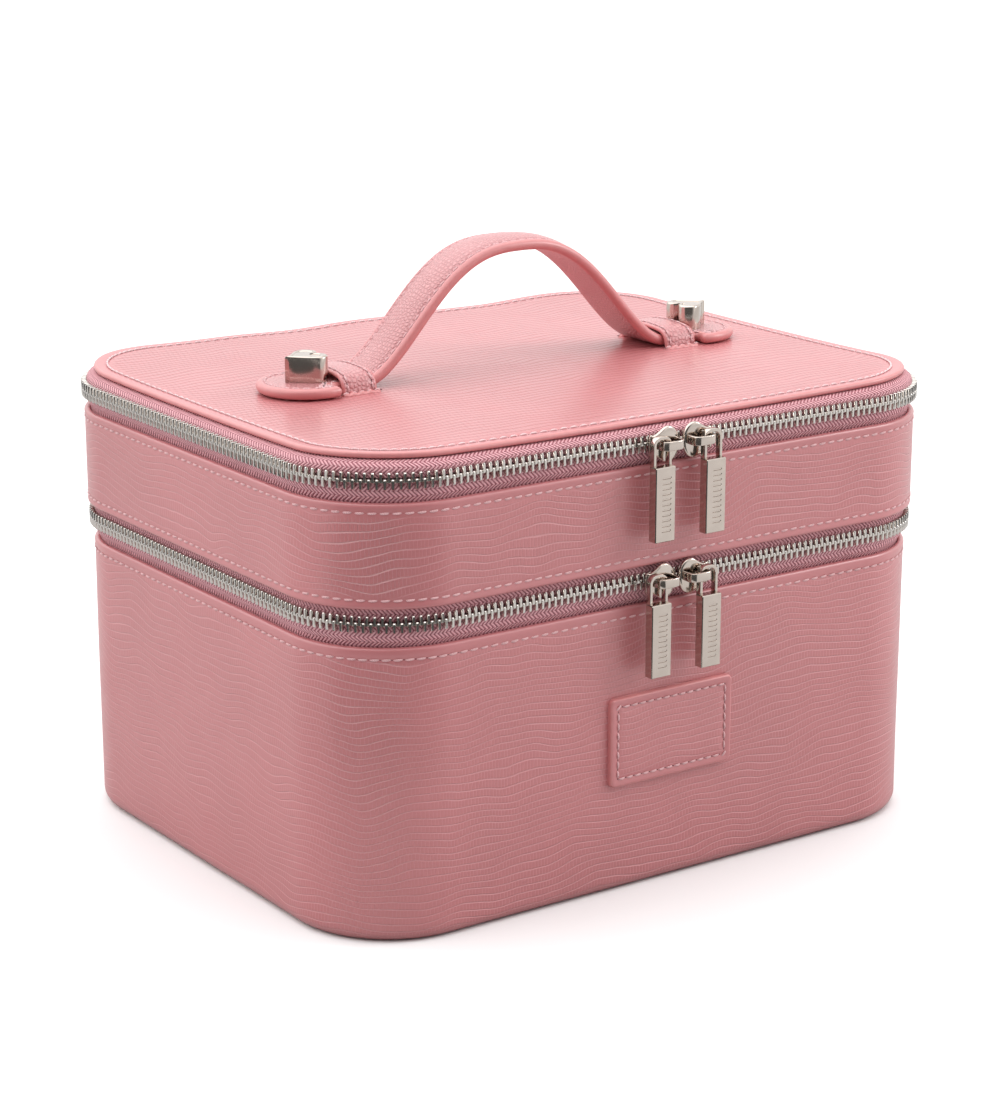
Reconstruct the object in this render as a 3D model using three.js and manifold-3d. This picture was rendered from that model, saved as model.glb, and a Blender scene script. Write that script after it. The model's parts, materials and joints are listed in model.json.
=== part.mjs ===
// Makeup train case: a leather-covered vanity case of a deep base, a shallow tier and a thin lid.
// Two zips part them at the front and sides and two hinge strips join them at the back, so the
// lid opens off the tier and the tier opens off the base. A padded strap handle runs through two
// keeper loops on the lid and is held by a heart stud on each end.
// Millimetres. +X is to the right along the front, the front faces -Y, +Z is up, and the origin
// is on the resting plane under the middle of the body.

import * as THREE from 'three';
import { mergeVertices } from 'three/addons/utils/BufferGeometryUtils.js';
import Module from 'manifold-3d';

const wasm = await Module();
wasm.setup();

// Driving dimensions.
const WIDTH = 250;
const DEPTH = 202;
const CORNER_RADIUS = 38.5;
const CORNER_STEPS = 7;
const GAP = 0.3;

const BASE_TOP = 98.5;
const BASE_INSET = 1.8;
const LOWER_ZIP_Z = 106.5;
const TIER_BOTTOM = 111.5;
const TIER_TOP = 145.3;
const UPPER_ZIP_Z = 152.5;
const LID_EDGE_BOTTOM = 159.5;
const LID_EDGE_TOP = 161.4;
const LID_EDGE_INSET = 3.8;
const LID_PANEL_TOP = 159.4;
const LID_PANEL = 1.8;
const LID_TURN = 1.8;

const WALL = 2.1;
const FLOOR = 2.4;
const TIER_FLOOR = 2;
const TIER_FLOOR_RISE = 0.6;
const LINING = 1;
const LINING_DROP = 1;
const TAPE = 0.7;
const BINDING_HEIGHT = 2.4;
const TUCK = 6;
const TAPE_LEAN = 2.6;
const CHAIN_HALF_HEIGHT = 3;
const CHAIN_DEPTH = 1.7;
const STOP_LENGTH = 3;
const LOWER_CHAIN_INSET = 0.2;
const UPPER_CHAIN_INSET = -0.9;
const HINGE_STRIP_HALF_LENGTH = 82;

const MIRROR_WIDTH = 156;
const MIRROR_DEPTH = 112;
const MIRROR_THICKNESS = 1.6;
const MIRROR_FRAME = 7;
const MIRROR_RADIUS = 8;

const PATCH_WIDTH = 50.5;
const PATCH_HEIGHT = 30.6;
const PATCH_THICKNESS = 1.8;
const PATCH_RADIUS = 2;
const PATCH_Z = 52.8;

const SLIDER_X = 7;
const SLIDER_DROP = 0.6;
const SLIDER_THICKNESS = 1.6;
const CROWN_BAND = 3;
const CROWN_THICKNESS = 1;
const CROWN_NOSE = 5;
const CROWN_CHAMFER = 1;
const PULL_OFFSET = 3.35;
const PULL_WIDTH = 8;
const PULL_BAR_TOP = -6.5;
const PULL_BAR_BOTTOM = -31.3;
const PULL_BAR_THICKNESS = 3.7;
const PULL_BAR_FORWARD = 0.9;
const PULL_BAR_CORNER = 0.8;
const LOOP_THICKNESS = 3;
const LOOP_HALF_WIDTH = 3.7;
const LOOP_TOP = 3.1;
const LOOP_WIRE = 1.2;

const HANDLE_X = 3.5;
const HANDLE_Y = 1;
const STRAP_WIDTH = 21.5;
const STRAP = 3.2;
const LOWER_KNUCKLE_X = 51;
const UPPER_KNUCKLE_X = 22;
const UPPER_KNUCKLE_Z = 194.7;
const HANDLE_PEAK_Z = 201.4;
const KNUCKLE_SEAT_SPREAD = (50 * Math.PI) / 180;
const CROWN_END_CLEARANCE = 1.5;
const TAB_END_X = 81.2;
const TAB_END_RADIUS = 16.8;
const TAB_NECK = 5;
const TAB_NECK_FLARE = 1.5;
const STUD_X = 82.6;
const STUD_SIZE = 14.5;
const STUD_HEIGHT = 9;
const STUD_HOLE_DEPTH = 5;
const SCREW_HEAD_RADIUS = 4;
const SCREW_HEAD_THICKNESS = 1;
const SCREW_SHANK_RADIUS = 1.5;
const SCREW_LENGTH = 7;
const KEEPER_X = 68;
const KEEPER_LENGTH = 13.4;
const KEEPER_SIDE_CLEARANCE = 1.1;
const KEEPER_TOP_CLEARANCE = 1.8;
const KEEPER_THICKNESS = 1.2;
const KEEPER_SHOULDER = 2;
const KEEPER_WING = 3;

// Finishes.
const leather = () => new THREE.MeshStandardMaterial({ color: 0xd98a93, roughness: 0.5, metalness: 0 });
const edgeLeather = () => new THREE.MeshStandardMaterial({ color: 0xdf8f92, roughness: 0.4, metalness: 0 });
const tapeCloth = () => new THREE.MeshStandardMaterial({ color: 0xc9808f, roughness: 0.85, metalness: 0 });
const liningCloth = () => new THREE.MeshStandardMaterial({ color: 0xe6b4b8, roughness: 0.8, metalness: 0 });
const boardSkin = () => new THREE.MeshStandardMaterial({ color: 0xb8747d, roughness: 0.7, metalness: 0 });
const nickel = () => new THREE.MeshStandardMaterial({ color: 0xd9d2cb, roughness: 0.15, metalness: 1 });
const mirrorGlass = () => new THREE.MeshStandardMaterial({ color: 0xe8ecef, roughness: 0.03, metalness: 1 });

const trainCase = new THREE.Group();

function addMesh(name, geometry, material, parent = trainCase) {
  const mesh = new THREE.Mesh(geometry, material);
  mesh.name = name;
  parent.add(mesh);
  return mesh;
}

// Points on an arc about (cx, cy), both ends included.
function arc(cx, cy, radius, from, to, steps) {
  const points = [];
  for (let i = 0; i <= steps; i += 1) {
    const angle = from + ((to - from) * i) / steps;
    points.push(new THREE.Vector2(cx + radius * Math.cos(angle), cy + radius * Math.sin(angle)));
  }
  return points;
}

function roundedRectangle(width, height, radius, steps) {
  const x = width / 2 - radius;
  const y = height / 2 - radius;
  const quarter = Math.PI / 2;
  return [
    ...arc(x, y, radius, 0, quarter, steps),
    ...arc(-x, y, radius, quarter, 2 * quarter, steps),
    ...arc(-x, -y, radius, 2 * quarter, 3 * quarter, steps),
    ...arc(x, -y, radius, 3 * quarter, 4 * quarter, steps),
  ];
}

// The plan outline of the case, inset from its widest face.
const caseOutline = (inset) =>
  roundedRectangle(WIDTH - 2 * inset, DEPTH - 2 * inset, CORNER_RADIUS - inset, CORNER_STEPS);

function extrude(outline, depth, holes = []) {
  const shape = new THREE.Shape(outline);
  shape.holes = holes.map((hole) => new THREE.Path(hole));
  return new THREE.ExtrudeGeometry(shape, { depth, bevelEnabled: false });
}

// Profiles drawn in (y, z) and extruded along +X.
function alongX(geometry) {
  const turn = new THREE.Matrix4().makeBasis(
    new THREE.Vector3(0, 1, 0),
    new THREE.Vector3(0, 0, 1),
    new THREE.Vector3(1, 0, 0),
  );
  return geometry.applyMatrix4(turn);
}

// Profiles drawn in (x, z) and extruded towards the front, from y = 0 to y = -depth.
const towardsFront = (geometry) => geometry.rotateX(Math.PI / 2);

function plate(inset, bottom, top) {
  return extrude(caseOutline(inset), top - bottom).translate(0, 0, bottom);
}

function ring(outerInset, thickness, bottom, top) {
  const outline = caseOutline(outerInset);
  const hole = caseOutline(outerInset + thickness);
  return extrude(outline, top - bottom, [hole]).translate(0, 0, bottom);
}

function toManifold(geometry) {
  const bare = geometry.clone();
  bare.deleteAttribute('normal');
  bare.deleteAttribute('uv');
  const merged = mergeVertices(bare);
  const mesh = new wasm.Mesh({
    numProp: 3,
    vertProperties: new Float32Array(merged.attributes.position.array),
    triVerts: new Uint32Array(merged.index.array),
  });
  return new wasm.Manifold(mesh);
}

function toGeometry(solid) {
  const mesh = solid.getMesh();
  const geometry = new THREE.BufferGeometry();
  geometry.setAttribute('position', new THREE.BufferAttribute(mesh.vertProperties, 3));
  geometry.setIndex(new THREE.BufferAttribute(mesh.triVerts, 1));
  geometry.computeVertexNormals();
  return geometry;
}

const join = (a, b) => toGeometry(toManifold(a).add(toManifold(b)));
const cut = (a, b) => toGeometry(toManifold(a).subtract(toManifold(b)));

// An open-topped tray of the case's outline.
function tray(inset, thickness, bottom, top) {
  const block = plate(inset, bottom, top);
  const hollow = plate(inset + thickness, bottom + thickness, top + 1);
  return cut(block, hollow);
}

// The run of a zip: down the left side from the rear corner, across the front and back up the
// right side. It has one step along each straight and CORNER_STEPS round each corner.
class ZipRun extends THREE.Curve {
  constructor() {
    super();
    this.stations = [];
    const x = WIDTH / 2 - CORNER_RADIUS;
    const y = DEPTH / 2 - CORNER_RADIUS;
    const corners = [[-x, y], [-x, -y], [x, -y], [x, y]];
    corners.forEach(([cx, cy], index) => {
      const start = ((index + 1) * Math.PI) / 2;
      for (let i = 0; i <= CORNER_STEPS; i += 1) {
        const angle = start + (i * Math.PI) / (2 * CORNER_STEPS);
        this.stations.push({ cx, cy, angle });
      }
    });
    this.steps = this.stations.length - 1;
  }

  station(u) {
    return this.stations[Math.round(u * this.steps)];
  }

  getPointAt(u, target = new THREE.Vector3()) {
    const { cx, cy, angle } = this.station(u);
    return target.set(cx + CORNER_RADIUS * Math.cos(angle), cy + CORNER_RADIUS * Math.sin(angle), 0);
  }

  getTangentAt(u, target = new THREE.Vector3()) {
    const { angle } = this.station(u);
    return target.set(-Math.sin(angle), Math.cos(angle), 0);
  }
}

const zipRun = new ZipRun();

// Sweeps a profile of (inset, z) points along the zip run. The curve's frames point down and
// inwards, so a profile point is drawn as (-z, inset).
function sweep(profile) {
  const shape = new THREE.Shape(profile.map(([inset, z]) => new THREE.Vector2(-z, inset)));
  return new THREE.ExtrudeGeometry(shape, { extrudePath: zipRun, steps: zipRun.steps });
}

// The same profile as a straight strip across the back, between the two ends of a zip.
function backStrip(profile) {
  const outline = profile.map(([inset, z]) => new THREE.Vector2(DEPTH / 2 - inset, z));
  const strip = alongX(extrude(outline, 2 * HINGE_STRIP_HALF_LENGTH));
  return strip.translate(-HINGE_STRIP_HALF_LENGTH, 0, 0);
}

// A tape or hinge strip that is tucked behind a wall's edge and leans out to the chain.
// side is +1 where it rises from the wall to the zip and -1 where it hangs down to it.
function tuckedProfile({ edge, tuckInset, zipInset, zip, side }) {
  const zipEnd = zip - side * (GAP / 2);
  const lean = edge + side * TAPE_LEAN;
  const bendShift = side * (TAPE / 2);
  return [
    [tuckInset, edge - side * TUCK],
    [tuckInset, edge + side * GAP],
    [zipInset, lean],
    [zipInset, zipEnd],
    [zipInset + TAPE, zipEnd],
    [zipInset + TAPE, lean + bendShift],
    [tuckInset + TAPE, edge + side * GAP + bendShift],
    [tuckInset + TAPE, edge - side * TUCK],
  ];
}

// A tape or hinge strip that comes out from under the lid's edge and turns down to the chain.
function lidProfile(zipInset) {
  const top = LID_EDGE_BOTTOM - GAP;
  const zipEnd = UPPER_ZIP_Z + GAP / 2;
  const turnOuter = top - LID_TURN;
  const turnLower = top - 2 * LID_TURN;
  const innerEdge = LID_EDGE_INSET + WALL;
  return [
    [innerEdge, top],
    [LID_EDGE_INSET - GAP, top],
    [zipInset + GAP, turnOuter],
    [zipInset, turnLower],
    [zipInset, zipEnd],
    [zipInset + TAPE, zipEnd],
    [zipInset + TAPE, turnLower],
    [zipInset + TAPE + 2 * GAP, turnOuter],
    [LID_EDGE_INSET + GAP, top - TAPE],
    [innerEdge, top - TAPE],
  ];
}

function chainProfile(inset, zip, side) {
  const near = zip - side * (GAP / 2);
  const far = zip - side * CHAIN_HALF_HEIGHT;
  return [
    [inset, near],
    [inset, far],
    [inset + CHAIN_DEPTH, far],
    [inset + CHAIN_DEPTH, near],
  ];
}

// Base: wall, floor, lining, bound top edge, front patch and its half of the lower zip.
function buildBase() {
  const wallTop = BASE_TOP - BINDING_HEIGHT - GAP;
  const tapeInset = BASE_INSET + WALL + GAP;
  const liningInset = tapeInset + TAPE + GAP;
  const liningTop = BASE_TOP - LINING_DROP;
  const chainBack = LOWER_CHAIN_INSET + CHAIN_DEPTH + GAP;
  addMesh('base_wall', ring(BASE_INSET, WALL, 0, wallTop), leather());
  addMesh('base_floor', plate(tapeInset, 0, FLOOR), boardSkin());
  addMesh('base_lining', tray(liningInset, LINING, FLOOR + GAP, liningTop), liningCloth());
  addMesh('base_rim_binding', ring(BASE_INSET, WALL, wallTop + GAP, BASE_TOP), edgeLeather());
  const tuck = { edge: BASE_TOP, tuckInset: tapeInset, zipInset: chainBack, zip: LOWER_ZIP_Z, side: 1 };
  addMesh('lower_zip_tape_base', sweep(tuckedProfile(tuck)), tapeCloth());
  addMesh('lower_zip_teeth_base', sweep(chainProfile(LOWER_CHAIN_INSET, LOWER_ZIP_Z, 1)), nickel());
  addMesh('lower_hinge_strip_base', backStrip(tuckedProfile(tuck)), leather());
  addStops('lower_zip_stop', LOWER_CHAIN_INSET, LOWER_ZIP_Z);

  const patch = roundedRectangle(PATCH_WIDTH, PATCH_HEIGHT, PATCH_RADIUS, 3);
  const patchMesh = addMesh('front_patch', towardsFront(extrude(patch, PATCH_THICKNESS)), leather());
  patchMesh.position.set(0, -DEPTH / 2 + BASE_INSET - GAP, PATCH_Z);
}

// The metal stops at the two ends of a chain, just past the rear corners.
function addStops(name, chainInset, zip) {
  const height = CHAIN_HALF_HEIGHT - GAP;
  for (const [suffix, sign] of [['left', -1], ['right', 1]]) {
    const stop = new THREE.BoxGeometry(STOP_LENGTH, CHAIN_DEPTH, height);
    const mesh = addMesh(`${name}_${suffix}`, stop, nickel());
    const x = WIDTH / 2 - CORNER_RADIUS - GAP - STOP_LENGTH / 2;
    const y = DEPTH / 2 - chainInset - CHAIN_DEPTH / 2;
    mesh.position.set(sign * x, y, zip - GAP / 2 - height / 2);
  }
}

// Tier: wall between two bound edges, floor, lining and a zip half above and below.
function buildTier() {
  const tapeInset = WALL + GAP;
  const liningInset = tapeInset + TAPE + GAP;
  const lowerBack = LOWER_CHAIN_INSET + CHAIN_DEPTH + GAP;
  const upperBack = UPPER_CHAIN_INSET + CHAIN_DEPTH + GAP;
  const wallBottom = TIER_BOTTOM + BINDING_HEIGHT + GAP;
  const wallTop = TIER_TOP - BINDING_HEIGHT - GAP;
  const floorBottom = TIER_BOTTOM + TIER_FLOOR_RISE;
  const floorTop = floorBottom + TIER_FLOOR;
  const liningTop = TIER_TOP - LINING_DROP;
  addMesh('tier_wall', ring(0, WALL, wallBottom, wallTop), leather());
  addMesh('tier_bottom_binding', ring(0, WALL, TIER_BOTTOM, wallBottom - GAP), edgeLeather());
  addMesh('tier_top_binding', ring(0, WALL, wallTop + GAP, TIER_TOP), edgeLeather());
  addMesh('tier_floor', plate(liningInset, floorBottom, floorTop), boardSkin());
  addMesh('tier_lining', tray(liningInset, LINING, floorTop + GAP, liningTop), liningCloth());

  const lower = {
    edge: TIER_BOTTOM, tuckInset: tapeInset, zipInset: lowerBack, zip: LOWER_ZIP_Z, side: -1,
  };
  const upper = { edge: TIER_TOP, tuckInset: tapeInset, zipInset: upperBack, zip: UPPER_ZIP_Z, side: 1 };
  addMesh('lower_zip_tape_tier', sweep(tuckedProfile(lower)), tapeCloth());
  addMesh('lower_zip_teeth_tier', sweep(chainProfile(LOWER_CHAIN_INSET, LOWER_ZIP_Z, -1)), nickel());
  addMesh('lower_hinge_strip_tier', backStrip(tuckedProfile(lower)), leather());
  addMesh('upper_zip_tape_tier', sweep(tuckedProfile(upper)), tapeCloth());
  addMesh('upper_zip_teeth_tier', sweep(chainProfile(UPPER_CHAIN_INSET, UPPER_ZIP_Z, 1)), nickel());
  addMesh('upper_hinge_strip_tier', backStrip(tuckedProfile(upper)), leather());
  addStops('upper_zip_stop', UPPER_CHAIN_INSET, UPPER_ZIP_Z);
}

// Lid: panel, rolled edge, lining, framed mirror and the top half of the upper zip.
function buildLid() {
  const panelInset = LID_EDGE_INSET + WALL + GAP;
  const panelBottom = LID_PANEL_TOP - LID_PANEL;
  const liningTop = panelBottom - GAP;
  const upperBack = UPPER_CHAIN_INSET + CHAIN_DEPTH + GAP;
  addMesh('lid_panel', plate(panelInset, panelBottom, LID_PANEL_TOP), leather());
  addMesh('lid_rolled_edge', ring(LID_EDGE_INSET, WALL, LID_EDGE_BOTTOM, LID_EDGE_TOP), edgeLeather());
  addMesh('lid_lining', plate(panelInset, liningTop - LINING, liningTop), liningCloth());
  addMesh('upper_zip_tape_lid', sweep(lidProfile(upperBack)), tapeCloth());
  addMesh('upper_zip_teeth_lid', sweep(chainProfile(UPPER_CHAIN_INSET, UPPER_ZIP_Z, -1)), nickel());
  addMesh('upper_hinge_strip_lid', backStrip(lidProfile(upperBack)), leather());

  const mirrorBottom = liningTop - LINING - GAP - MIRROR_THICKNESS;
  const glass = roundedRectangle(MIRROR_WIDTH, MIRROR_DEPTH, MIRROR_RADIUS, 4);
  const frameOuter = roundedRectangle(
    MIRROR_WIDTH + 2 * MIRROR_FRAME, MIRROR_DEPTH + 2 * MIRROR_FRAME, MIRROR_RADIUS + MIRROR_FRAME, 4,
  );
  const frameInner = roundedRectangle(
    MIRROR_WIDTH + 2 * GAP, MIRROR_DEPTH + 2 * GAP, MIRROR_RADIUS + GAP, 4,
  );
  const frame = extrude(frameOuter, MIRROR_THICKNESS, [frameInner]);
  const mirror = addMesh('lid_mirror', extrude(glass, MIRROR_THICKNESS), mirrorGlass());
  mirror.position.z = mirrorBottom;
  addMesh('mirror_frame', frame, leather()).position.z = mirrorBottom;
}

// Keeper loop: a stitched leather bridge over the strap with chamfered shoulders, drawn across
// the strap's width.
function keeperGeometry() {
  const innerY = STRAP_WIDTH / 2 + KEEPER_SIDE_CLEARANCE;
  const outerY = innerY + KEEPER_THICKNESS;
  const wingY = outerY + KEEPER_WING;
  const innerZ = STRAP + KEEPER_TOP_CLEARANCE;
  const outerZ = innerZ + KEEPER_THICKNESS;
  const innerShoulder = KEEPER_SHOULDER - KEEPER_THICKNESS / 2;
  const right = [
    [wingY, 0], [wingY, KEEPER_THICKNESS], [outerY, KEEPER_THICKNESS + GAP],
    [outerY, outerZ - KEEPER_SHOULDER], [outerY - KEEPER_SHOULDER, outerZ],
  ];
  const under = [
    [innerY, 0], [innerY, innerZ - innerShoulder], [innerY - innerShoulder, innerZ],
  ];
  const mirrored = (points) => points.map(([y, z]) => [-y, z]);
  const outline = [
    ...right, ...mirrored(right).reverse(), ...mirrored(under), ...[...under].reverse(),
  ];
  const points = outline.map(([y, z]) => new THREE.Vector2(y, z));
  return alongX(extrude(points, KEEPER_LENGTH)).translate(-KEEPER_LENGTH / 2, 0, 0);
}

// A twelve-sided peg with its base at z = 0.
function peg(x, radius, height) {
  return extrude(arc(x, 0, radius, 0, (11 * Math.PI) / 6, 11), height);
}

// One end of the strap, drawn for the right-hand side: a flat run with a round knuckle at its
// inner end, a wide rounded end for the stud, and a counterbored hole for the stud's screw.
function tabGeometry() {
  const half = STRAP / 2;
  const neckX = TAB_END_X - TAB_NECK;
  const neckY = STRAP_WIDTH / 2 + TAB_NECK_FLARE;
  const profile = [
    ...arc(LOWER_KNUCKLE_X, half, half, Math.PI / 2, (3 * Math.PI) / 2, 6),
    new THREE.Vector2(TAB_END_X, 0),
    new THREE.Vector2(TAB_END_X, STRAP),
  ];
  const endPlan = [
    ...arc(TAB_END_X, 0, TAB_END_RADIUS, -Math.PI / 2, Math.PI / 2, 12),
    new THREE.Vector2(neckX, neckY),
    new THREE.Vector2(neckX, -neckY),
  ];
  const blank = join(strapSolid(profile), extrude(endPlan, STRAP));
  const headDepth = SCREW_HEAD_THICKNESS + GAP;
  const head = peg(STUD_X, SCREW_HEAD_RADIUS + GAP, headDepth + GAP).translate(0, 0, -GAP);
  const shank = peg(STUD_X, SCREW_SHANK_RADIUS + GAP, STRAP + 2 * GAP).translate(0, 0, -GAP);
  return cut(cut(blank, head), shank);
}

// Heart-shaped stud with its cleft towards the middle of the handle and a blind screw hole.
function studGeometry() {
  const lobe = STUD_SIZE / 4;
  const lobeY = lobe * 0.95;
  const lobeRadius = lobe * 1.05;
  const tip = STUD_SIZE * 0.46;
  const tipShoulder = STUD_SIZE * 0.4;
  const tipHalfWidth = STUD_SIZE * 0.11;
  const plan = [
    ...arc(-lobe, lobeY, lobeRadius, Math.PI * 0.3, Math.PI * 1.38, 7),
    ...arc(-lobe, -lobeY, lobeRadius, Math.PI * 0.62, Math.PI * 1.7, 7),
    new THREE.Vector2(tipShoulder, -tipHalfWidth),
    new THREE.Vector2(tip, 0),
    new THREE.Vector2(tipShoulder, tipHalfWidth),
  ];
  const hole = peg(0, SCREW_SHANK_RADIUS + GAP, STUD_HOLE_DEPTH + GAP);
  return cut(extrude(plan, STUD_HEIGHT), hole.translate(0, 0, -GAP));
}

// Screw with a thin head under the strap and a shank that ends inside the stud.
function screwGeometry() {
  const points = [
    [0, 0], [SCREW_HEAD_RADIUS, 0], [SCREW_HEAD_RADIUS, SCREW_HEAD_THICKNESS],
    [SCREW_SHANK_RADIUS, SCREW_HEAD_THICKNESS], [SCREW_SHANK_RADIUS, SCREW_LENGTH], [0, SCREW_LENGTH],
  ];
  const lathe = new THREE.LatheGeometry(points.map(([x, y]) => new THREE.Vector2(x, y)), 12);
  return lathe.rotateX(Math.PI / 2);
}

// The concave seat at the end of a link, seen along +x from a knuckle at the origin.
function seat(steps) {
  const radius = STRAP / 2 + GAP;
  const reach = radius * Math.cos(KNUCKLE_SEAT_SPREAD);
  const start = new THREE.Vector2(reach, STRAP / 2);
  const end = new THREE.Vector2(reach, -STRAP / 2);
  return [start, ...arc(0, 0, radius, KNUCKLE_SEAT_SPREAD, -KNUCKLE_SEAT_SPREAD, steps), end];
}

function place(points, x, z, angle) {
  const origin = new THREE.Vector2();
  const shift = new THREE.Vector2(x, z);
  return points.map((point) => point.clone().rotateAround(origin, angle).add(shift));
}

// A piece of strap from its outline in (x, z), as wide as the strap.
const strapSolid = (outline) =>
  towardsFront(extrude(outline, STRAP_WIDTH)).translate(0, STRAP_WIDTH / 2, 0);

// Sloping link between the flat end and the crown, drawn for the left-hand side.
function armGeometry(lowerZ) {
  const rise = UPPER_KNUCKLE_Z - lowerZ;
  const run = LOWER_KNUCKLE_X - UPPER_KNUCKLE_X;
  const length = Math.hypot(run, rise);
  const slope = Math.atan2(rise, run);
  const outline = [
    ...seat(5),
    ...arc(length, 0, STRAP / 2, -Math.PI / 2, Math.PI / 2, 6),
  ];
  return strapSolid(place(outline, -LOWER_KNUCKLE_X, lowerZ, slope));
}

// Arched link over the fingers.
function crownGeometry() {
  const sagitta = HANDLE_PEAK_Z - UPPER_KNUCKLE_Z;
  const radius = (UPPER_KNUCKLE_X ** 2 + sagitta ** 2) / (2 * sagitta);
  const centreZ = HANDLE_PEAK_Z - radius;
  const half = Math.asin(UPPER_KNUCKLE_X / radius);
  const clear = (STRAP / 2 + CROWN_END_CLEARANCE) / radius;
  const from = Math.PI / 2 - half + clear;
  const to = Math.PI / 2 + half - clear;
  const leftSeat = place(seat(5), -UPPER_KNUCKLE_X, UPPER_KNUCKLE_Z, half);
  const rightSeat = leftSeat.map((point) => new THREE.Vector2(-point.x, point.y)).reverse();
  const outline = [
    ...arc(0, centreZ, radius + STRAP / 2, from, to, 6),
    ...leftSeat,
    ...arc(0, centreZ, radius - STRAP / 2, to, from, 6),
    ...rightSeat,
  ];
  return strapSolid(outline);
}

// Handle: five links across the lid, a stud and its screw on each end, and the two keepers.
function buildHandle() {
  const handle = new THREE.Group();
  handle.position.set(HANDLE_X, HANDLE_Y, 0);
  trainCase.add(handle);
  const strapBottom = LID_PANEL_TOP + GAP;
  const lowerZ = strapBottom + STRAP / 2;
  addMesh('handle_crown', crownGeometry(), leather(), handle);
  for (const [suffix, sign] of [['left', -1], ['right', 1]]) {
    const side = new THREE.Group();
    side.rotation.z = sign < 0 ? Math.PI : 0;
    side.position.z = strapBottom;
    handle.add(side);
    addMesh(`handle_end_${suffix}`, tabGeometry(), leather(), side);
    addMesh(`heart_stud_${suffix}`, studGeometry(), nickel(), side)
      .position.set(STUD_X, 0, STRAP + GAP);
    addMesh(`stud_screw_${suffix}`, screwGeometry(), nickel(), side).position.set(STUD_X, 0, 0);
    addMesh(`keeper_loop_${suffix}`, keeperGeometry(), leather(), side).position.x = KEEPER_X;
    const arm = addMesh(`handle_arm_${suffix}`, armGeometry(lowerZ), leather(), handle);
    arm.rotation.z = sign < 0 ? 0 : Math.PI;
  }
}

// Slider plate, drawn for a left-hand slider: rounded nose towards +x, narrow tail towards -x.
function sliderPlateGeometry() {
  const upper = [
    [6, 0], [5.8, 2.2], [4.8, 4.3], [3.4, 5.6], [2, 6],
    [0.5, 5.6], [-1.2, 4.4], [-3.2, 3.2], [-5.7, 2.5],
  ];
  const lower = upper.slice(1).reverse().map(([x, z]) => [x, -z]);
  const outline = [...upper, ...lower].map(([x, z]) => new THREE.Vector2(x, z));
  return towardsFront(extrude(outline, SLIDER_THICKNESS));
}

// Crown of a slider: a band that stands off the plate, with a post at its nose and its tail.
function crownBandGeometry() {
  const tail = -PULL_OFFSET - CROWN_THICKNESS / 2;
  const reach = LOOP_THICKNESS + 3 * GAP;
  const front = reach + CROWN_THICKNESS;
  const outline = [
    [CROWN_NOSE, 0], [CROWN_NOSE, front - CROWN_CHAMFER], [CROWN_NOSE - CROWN_CHAMFER, front],
    [tail + CROWN_CHAMFER, front], [tail, front - CROWN_CHAMFER], [tail, 0],
    [tail + CROWN_THICKNESS, 0], [tail + CROWN_THICKNESS, reach],
    [CROWN_NOSE - CROWN_THICKNESS, reach], [CROWN_NOSE - CROWN_THICKNESS, 0],
  ];
  const points = outline.map(([x, y]) => new THREE.Vector2(x, -y));
  return extrude(points, CROWN_BAND).translate(0, 0, -CROWN_BAND / 2);
}

// Pull: a thick flat bar under an open loop, hanging from a pivot at the origin. The bar stands
// forward of the loop, flush with the front of the crown.
function pullGeometry() {
  const vectors = (points) => points.map(([x, z]) => new THREE.Vector2(x, z));
  const symmetric = (right) => vectors([...right, ...right.map(([x, z]) => [-x, z]).reverse()]);
  const half = PULL_WIDTH / 2;
  const holeHalf = LOOP_HALF_WIDTH - LOOP_WIRE;
  const holeTop = LOOP_TOP - LOOP_WIRE;
  const overlap = PULL_BAR_TOP - 1;
  const bar = symmetric([
    [half - PULL_BAR_CORNER, PULL_BAR_BOTTOM], [half, PULL_BAR_BOTTOM + PULL_BAR_CORNER],
    [half, PULL_BAR_TOP],
  ]);
  const loop = symmetric([
    [LOOP_HALF_WIDTH, overlap], [LOOP_HALF_WIDTH, holeTop], [LOOP_HALF_WIDTH - LOOP_WIRE, LOOP_TOP],
  ]);
  const hole = symmetric([[holeHalf, PULL_BAR_TOP], [holeHalf, holeTop]]);
  const loopSolid = towardsFront(extrude(loop, LOOP_THICKNESS, [hole]));
  const barSolid = towardsFront(extrude(bar, PULL_BAR_THICKNESS)).translate(0, -PULL_BAR_FORWARD, 0);
  return join(loopSolid, barSolid);
}

// One slider with its crown and its hanging pull. The two sliders of a zip are mirror images.
function buildSlider(level, side, chainInset, zip) {
  const sign = side === 'left' ? -1 : 1;
  const turn = sign < 0 ? 0 : Math.PI;
  const plateBack = -DEPTH / 2 + Math.min(chainInset, 0) - GAP;
  const plateFront = plateBack - SLIDER_THICKNESS;
  const slidingPlate = addMesh(`slider_plate_${level}_${side}`, sliderPlateGeometry(), nickel());
  slidingPlate.position.set(sign * SLIDER_X, plateBack, zip - SLIDER_DROP);
  slidingPlate.rotation.y = turn;
  const crown = addMesh(`slider_crown_${level}_${side}`, crownBandGeometry(), nickel());
  crown.position.set(sign * SLIDER_X, plateFront - GAP, zip);
  crown.rotation.y = turn;
  const pull = addMesh(`zip_pull_${level}_${side}`, pullGeometry(), nickel());
  pull.position.set(sign * (SLIDER_X + PULL_OFFSET), plateFront - 2 * GAP, zip);
}

buildBase();
buildTier();
buildLid();
buildHandle();
for (const side of ['left', 'right']) {
  buildSlider('upper', side, UPPER_CHAIN_INSET, UPPER_ZIP_Z);
  buildSlider('lower', side, LOWER_CHAIN_INSET, LOWER_ZIP_Z);
}

export default trainCase;
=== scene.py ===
import json
import math

import bmesh
import bpy
import numpy as np
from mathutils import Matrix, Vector, noise


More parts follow.
